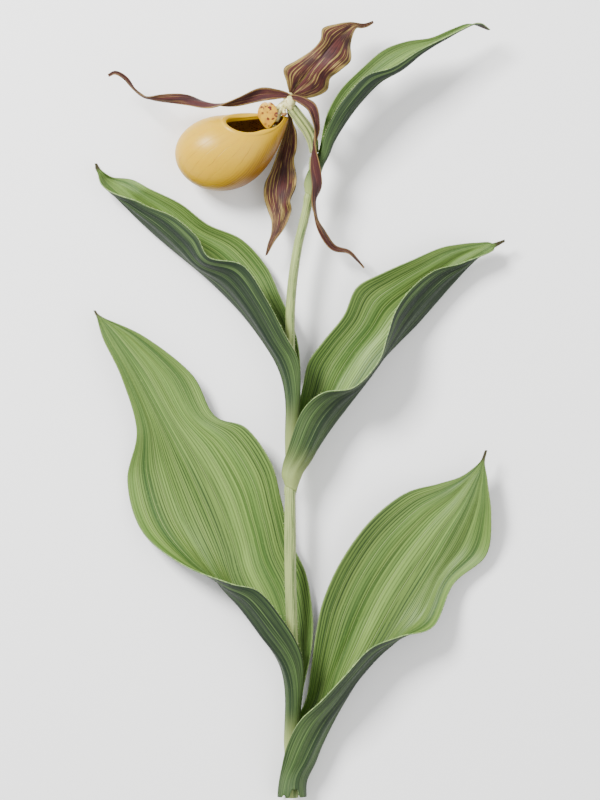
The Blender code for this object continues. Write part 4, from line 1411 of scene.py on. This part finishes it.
UPPER_LEFT = (
    ((-5.0, -19.5, 13.7), (0.5, -19.5, 14.0), (0.5, -19.5, 13.4)),
    ((-5.0, -7.5, 13.8), (0.5, -6.5, 15.0), (0.5, -6.5, 13.0)),
    ((-5.5, 4.5, 13.4), (1.0, 7.0, 17.0), (1.0, 7.0, 11.5)),
    ((-8.5, 16.5, 12.0), (-0.5, 19.5, 20.5), (0.0, 23.0, 9.5)),
    ((-14.6, 27.0, 9.8), (-5.0, 29.0, 22.5), (-3.0, 35.0, 8.0)),
    ((-23.0, 38.1, 7.8), (-13.0, 44.5, 23.5), (-7.5, 45.0, 6.5)),
    ((-32.4, 48.0, 6.0), (-22.5, 57.0, 22.5), (-13.0, 57.0, 5.5)),
    ((-42.0, 56.6, 4.5), (-36.0, 60.0, 20.5), (-23.0, 68.0, 5.5)),
    ((-52.4, 65.1, 3.6), (-41.0, 69.0, 18.5), (-36.5, 74.0, 6.0)),
    ((-61.4, 73.0, 3.6), (-50.0, 77.0, 15.5), (-47.0, 82.0, 7.5)),
    ((-70.0, 81.4, 4.6), (-62.5, 82.0, 12.0), (-58.5, 87.5, 8.0)),
    ((-77.0, 89.0, 6.2), (-75.6, 89.4, 9.5), (-70.0, 92.5, 8.0)),
    ((-80.2, 95.0, 7.3), (-80.9, 95.3, 7.6), (-78.6, 95.8, 7.5)),
    ((-81.5, 98.5, 7.5),),
)
UPPER_RIGHT = (
    ((0.5, -30.0, 13.4), (-7.0, -30.0, 13.5), (-7.0, -30.0, 13.5)),
    ((3.0, -24.5, 13.0), (-6.5, -23.0, 15.0), (-6.5, -23.0, 12.0)),
    ((7.5, -16.0, 12.0), (-3.5, -13.5, 19.5), (-4.0, -13.5, 8.5)),
    ((13.5, -7.0, 11.0), (1.5, -1.0, 22.0), (-1.0, -2.5, 7.0)),
    ((20.0, 1.5, 10.0), (9.5, 6.5, 24.0), (1.5, 8.5, 6.2)),
    ((27.0, 10.5, 9.0), (21.5, 9.0, 24.0), (4.0, 19.0, 6.5)),
    ((33.0, 19.0, 8.0), (31.5, 19.0, 23.5), (10.0, 27.5, 8.0)),
    ((40.0, 26.5, 7.0), (35.5, 29.0, 22.5), (18.0, 37.5, 9.5)),
    ((47.0, 33.5, 6.2), (39.0, 39.5, 20.0), (23.0, 48.5, 11.0)),
    ((54.5, 42.0, 5.8), (45.0, 48.5, 17.0), (32.5, 54.0, 10.5)),
    ((62.0, 50.5, 6.2), (54.0, 55.5, 14.0), (45.0, 59.5, 10.5)),
    ((69.5, 58.5, 7.0), (65.5, 58.5, 11.5), (59.0, 65.0, 10.0)),
    ((76.5, 64.5, 8.0), (75.0, 63.5, 10.0), (72.5, 65.5, 8.8)),
    ((78.2, 65.4, 8.0), (78.3, 64.6, 8.3), (77.8, 66.4, 8.3)),
    ((82.5, 67.5, 8.0),),
)
BRACT = (
    ((8.5, 87.0, 14.4), (3.5, 87.0, 17.4), (3.5, 87.0, 11.6)),
    ((8.6, 91.5, 14.6), (3.6, 91.5, 17.6), (3.6, 91.5, 11.6)),
    ((10.8, 99.0, 15.0), (8.0, 98.5, 18.7), (7.5, 100.5, 11.6)),
    ((13.5, 107.0, 16.0), (10.0, 108.0, 22.0), (9.5, 111.0, 13.0)),
    ((19.0, 116.5, 17.0), (14.0, 117.5, 25.5), (12.0, 119.5, 14.0)),
    ((25.5, 125.0, 18.0), (19.5, 125.0, 27.0), (17.0, 128.0, 15.0)),
    ((33.5, 132.5, 19.0), (27.0, 132.0, 27.0), (24.5, 135.5, 16.0)),
    ((42.5, 138.0, 20.0), (37.0, 135.5, 25.5), (33.5, 143.0, 17.0)),
    ((50.0, 143.0, 20.0), (47.0, 142.0, 24.0), (43.0, 146.5, 18.0)),
    ((58.0, 147.0, 19.5), (56.5, 147.0, 22.0), (52.5, 148.0, 18.0)),
    ((65.0, 151.0, 18.5), (64.5, 151.0, 20.5), (61.0, 151.5, 18.0)),
    ((71.0, 153.5, 17.0), (71.0, 154.0, 18.6), (68.5, 154.0, 17.0)),
    ((76.0, 151.5, 14.5),),
)
DORSAL_SEPAL = (
    ((-3.0, 125.5, 15.0), (-4.0, 126.5, 15.8), (-2.0, 125.0, 14.2)),
    ((-1.0, 128.5, 15.6), (-5.0, 130.5, 18.5), (4.5, 124.5, 13.2)),
    ((2.0, 132.0, 16.4), (-6.0, 135.5, 20.5), (11.0, 127.5, 12.0)),
    ((5.0, 135.5, 17.2), (-1.0, 139.0, 17.5), (12.5, 132.0, 15.5)),
    ((8.5, 139.5, 18.0), (5.0, 143.0, 17.2), (16.5, 135.0, 18.5)),
    ((11.5, 143.5, 18.2), (8.5, 147.0, 20.5), (20.5, 139.0, 16.0)),
    ((15.0, 147.5, 17.5), (9.5, 151.5, 21.0), (20.5, 145.0, 14.0)),
    ((19.0, 151.0, 16.4), (15.0, 153.5, 17.5), (21.5, 149.0, 16.5)),
    ((22.0, 153.0, 15.6), (20.5, 154.5, 16.0), (23.0, 152.0, 16.0)),
    ((25.0, 153.0, 15.2), (25.0, 154.0, 15.2), (25.0, 152.0, 15.2)),
    ((27.2, 153.4, 15.0), (27.0, 154.2, 15.0), (27.5, 152.6, 15.0)),
    ((29.7, 154.6, 15.0),),
)
SYNSEPAL = (
    ((-4.3, 120.8, 14.4), (-5.0, 120.8, 14.2), (-3.6, 120.8, 14.6)),
    ((-3.5, 115.0, 11.5), (-4.5, 115.0, 11.2), (-2.5, 115.0, 11.8)),
    ((-4.0, 110.0, 8.6), (-6.5, 109.0, 7.0), (-1.0, 110.5, 10.5)),
    ((-5.0, 104.5, 7.2), (-9.0, 102.0, 6.0), (-1.0, 104.5, 9.5)),
    ((-6.0, 99.0, 7.0), (-11.0, 96.0, 7.5), (-2.0, 99.5, 6.5)),
    ((-7.0, 93.0, 7.6), (-13.5, 90.5, 9.5), (-1.0, 93.5, 7.0)),
    ((-8.0, 87.5, 8.6), (-14.0, 85.0, 9.0), (-1.5, 88.5, 11.0)),
    ((-8.0, 82.0, 9.6), (-12.5, 79.5, 7.5), (-3.5, 83.5, 12.0)),
    ((-7.6, 77.3, 10.6), (-11.0, 75.0, 9.2), (-3.0, 79.5, 9.6)),
    ((-8.8, 71.3, 11.4), (-11.2, 70.0, 10.8), (-5.8, 72.5, 11.0)),
    ((-11.2, 66.2, 12.3), (-12.6, 65.5, 12.0), (-9.7, 67.0, 12.4)),
    ((-13.0, 61.5, 12.6),),
)
PETAL_LEFT = (
    (-5.0, 125.0, 18.2), (-9.5, 125.5, 18.4), (-15.0, 125.5, 18.6), (-23.0, 123.5, 19.0), (-31.0, 121.5, 19.5),
    (-38.5, 122.0, 19.0), (-46.5, 123.5, 18.5), (-54.5, 123.5, 18.0), (-61.0, 124.0, 17.5), (-65.5, 127.0, 17.5),
    (-69.0, 131.5, 18.0), (-73.0, 134.0, 18.5), (-76.0, 133.0, 17.5),
)
PETAL_RIGHT = (
    (-2.3, 124.2, 18.2), (2.0, 122.3, 19.8), (5.3, 119.2, 21.0), (6.6, 112.5, 21.5), (5.8, 105.0, 21.5),
    (6.0, 97.5, 21.0), (7.3, 89.5, 20.5), (6.5, 82.5, 19.0), (7.5, 75.5, 16.5), (10.5, 69.0, 13.5),
    (14.0, 64.5, 11.5), (19.5, 63.0, 10.0), (23.0, 60.0, 9.0), (26.0, 56.5, 8.5),
)


@dataclass
class Shoot:
    """The whole cut shoot.

    The fringe is the hairs on the leaves' margins: how many on each, their length and width, and the part of the
    margin that they stand on, as its start and its length in shares of the leaf. They point away from the place
    inside the margin.
    """

    stem: Stem = field(default_factory=Stem)
    fringe_count: int = 170
    fringe_hair: Span = (0.7, 0.06)
    fringe_span: Span = (0.25, 0.72)
    fringe_inside: float = 0.96
    down_count: int = 900
    down_start: float = 0.02

    def leaves(self) -> list[Leaf]:
        """Lists the four leaves and the bract.

        Returns:
            The leaves, not yet built.
        """
        return [
            Leaf(
                "leaf_lower_left", LOWER_LEFT, Side.LEFT, near_arch=(0.4, 0.3, 0.1, 0.05),
                far_arch=(0.4, 0.14, 0.08, 0.05), pleat=0.5, wave=0.7, stem=self.stem, sheath_radius=(3.0, 3.1),
                opens=(1.5, 5.0),
            ),
            Leaf(
                "leaf_lower_right", LOWER_RIGHT, Side.RIGHT, near_arch=(0.5, 0.2, 0.12, 0.12, 0.12, 0.1, 0.1),
                far_arch=(0.4, 0.14, 0.08, 0.05), pleat=0.5, wave=0.7, stem=self.stem, sheath_radius=(5.9, 4.2),
                opens=(0.0, 1.6), hugs=False, notches=((0.49, 0.15, 3.2), (0.77, 0.05, 1.2)),
                finishes=(LEAF_TOP, LOWEST_UNDER_SHADED, LEAF_EDGE),
            ),
            Leaf(
                "leaf_upper_left", UPPER_LEFT, Side.LEFT, near_arch=(0.4, 0.2, 0.12, 0.08, 0.1, 0.1, 0.1),
                far_arch=(0.4, 0.12, 0.06), pleat=0.4, wave=0.5, stem=self.stem, sheath_radius=(2.6, 2.7),
                opens=(0.6, 3.2),
            ),
            Leaf(
                "leaf_upper_right", UPPER_RIGHT, Side.RIGHT, near_arch=(0.4, 0.15, 0.05, 0.0, 0.06, 0.08, 0.1),
                far_arch=(0.4, 0.12, 0.06), pleat=0.4, wave=0.5, stem=self.stem, sheath_radius=(3.65, 3.65),
                opens=(0.0, 1.6),
            ),
            Leaf(
                "bract", BRACT, Side.RIGHT, near_arch=(0.4, 0.3, 0.1), far_arch=(0.4, 0.2, 0.1), pleat=0.15,
                wave=0.25, across=52, along=160, stem=self.stem, sheath_radius=(2.9, 3.1), opens=(0.6, 2.6),
                flattens=(1.9, 0.3),
            ),
        ]

    def sepals(self) -> list[Blade]:
        """Lists the dorsal sepal and the synsepal.

        Returns:
            The sepals, not yet built.
        """
        arch = (0.1, 0.12, 0.0)
        return [
            Blade(
                name, stations, Side.RIGHT, near_arch=arch, far_arch=arch, pleat=0.15, wave=0.35, across=56, along=150
            )
            for name, stations in (("dorsal_sepal", DORSAL_SEPAL), ("synsepal", SYNSEPAL))
        ]

    def petals(self) -> list[Petal]:
        """Lists the two petals.

        Returns:
            The petals, not yet built.
        """
        return [
            Petal(
                "petal_left", PETAL_LEFT, half_width=(1.2, 2.0, 2.7, 2.6, 2.3, 2.2, 2.1, 1.9, 1.6, 1.2, 1.0, 0.8, 0.5),
                turn=(0, 5, 15, 50, 90, 135, 180, 225, 265, 290, 320, 345, 360),
            ),
            Petal(
                "petal_right", PETAL_RIGHT,
                half_width=(1.0, 1.7, 2.1, 1.9, 1.8, 2.0, 2.1, 2.2, 1.9, 1.5, 1.2, 0.9, 0.7, 0.5),
                turn=(0, 10, 25, 50, 100, 150, 200, 250, 290, 330, 360, 390, 410, 420),
            ),
        ]

    def margin_roots(self, leaf: Leaf) -> list[tuple[Vector, Vector]]:
        """Scatters the feet of the hairs along both margins of a leaf.

        Args:
            leaf: the leaf.

        Returns:
            Each hair's foot and direction.
        """
        start, reach = self.fringe_span
        roots = []
        for i in range(self.fringe_count):
            for edge in (-1.0, 1.0):
                s = leaf.last * (start + reach * (i + random.random()) / self.fringe_count)
                rim = leaf.point(edge, s)
                roots.append((rim, rim - leaf.point(edge * self.fringe_inside, s)))
        return [root for root in roots if root[1].length > 1e-4]

    def stem_roots(self) -> list[tuple[Vector, Vector]]:
        """Scatters the feet of the hairs all over the stem.

        Returns:
            Each hair's foot and direction.
        """
        roots = []
        for _ in range(self.down_count):
            angle, s = random.uniform(0, math.tau), random.uniform(self.down_start, 1.0) * self.stem.path.last
            foot = self.stem.surface(angle, s)
            roots.append((foot, foot - self.stem.path.at(s)))
        return roots

    def build(self) -> None:
        """Makes every piece of the shoot."""
        self.stem.build()
        for leaf in self.leaves():
            leaf.build()
            Down(leaf.name + "_fringe", "leaf", *self.fringe_hair).build(self.margin_roots(leaf))
        Down("stem_down", "stem").build(self.stem_roots())
        for part in (*self.sepals(), *self.petals(), Ovary(), Lip(), FlowerHeart()):
            part.build()


@dataclass
class Studio:
    """The pale table, the soft lights and the camera above the shoot."""

    frame_height: float = 0.32
    lens: float = 200.0
    sensor: float = 36.0
    focus_height: float = 0.012
    frame_centre: tuple[float, float] = (0.00037, 0.003885)
    floor_size: float = 6.0
    floor_colour: Colour = (0.96, 0.96, 0.955)
    sky_colour: Colour = (1.0, 1.0, 1.0)
    sky_strength: float = 0.85

    def build(self) -> None:
        """Makes the floor, the lights and the camera."""
        self.floor()
        self.light("key", (-0.60, 0.60, 0.85), size=0.35, power=34.0)
        self.light("fill", (0.7, -0.2, 0.9), size=1.0, power=7.0)
        world = bpy.data.worlds.new("studio")
        world.use_nodes = True
        sky = world.node_tree.nodes["Background"]
        sky.inputs["Color"].default_value = (*self.sky_colour, 1.0)
        sky.inputs["Strength"].default_value = self.sky_strength
        bpy.context.scene.world = world
        camera = bpy.data.objects.new("camera", bpy.data.cameras.new("camera"))
        camera.data.lens = self.lens
        camera.data.sensor_width = self.sensor
        distance = self.frame_height / 2 / (self.sensor / 2 / self.lens)
        camera.location = (*self.frame_centre, self.focus_height + distance)
        bpy.context.scene.collection.objects.link(camera)
        bpy.context.scene.camera = camera

    def floor(self) -> None:
        """Lays the floor, which is not part of the shoot."""
        bm = bmesh.new()
        bmesh.ops.create_grid(bm, x_segments=1, y_segments=1, size=self.floor_size / 2)
        mesh = bpy.data.meshes.new("floor")
        bm.to_mesh(mesh)
        bm.free()
        finish = Shader("floor_white", 0.9)
        finish.paint(self.floor_colour)
        mesh.materials.append(finish.material)
        floor = bpy.data.objects.new("floor", mesh)
        bpy.context.scene.collection.objects.link(floor)

    def light(self, name: str, place: Triple, size: float, power: float) -> None:
        """Adds a square area light that faces the shoot.

        Args:
            name: the light's name.
            place: where it hangs, in metres.
            size: its side, in metres.
            power: its power, in watts.
        """
        data = bpy.data.lights.new(name, "AREA")
        data.size = size
        data.energy = power
        lamp = bpy.data.objects.new(name, data)
        lamp.location = place
        lamp.rotation_euler = (-Vector(place)).to_track_quat("-Z", "Y").to_euler()
        bpy.context.scene.collection.objects.link(lamp)


def main() -> None:
    """Builds the shoot and its studio."""
    logging.basicConfig(level=logging.INFO, format="%(name)s: %(message)s")
    random.seed(SEED)
    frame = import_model()
    log.info("frame: %d nodes", len(frame["nodes"]))
    Shoot().build()
    Studio().build()
    bpy.context.view_layer.update()


if __name__ == "__main__":
    main()
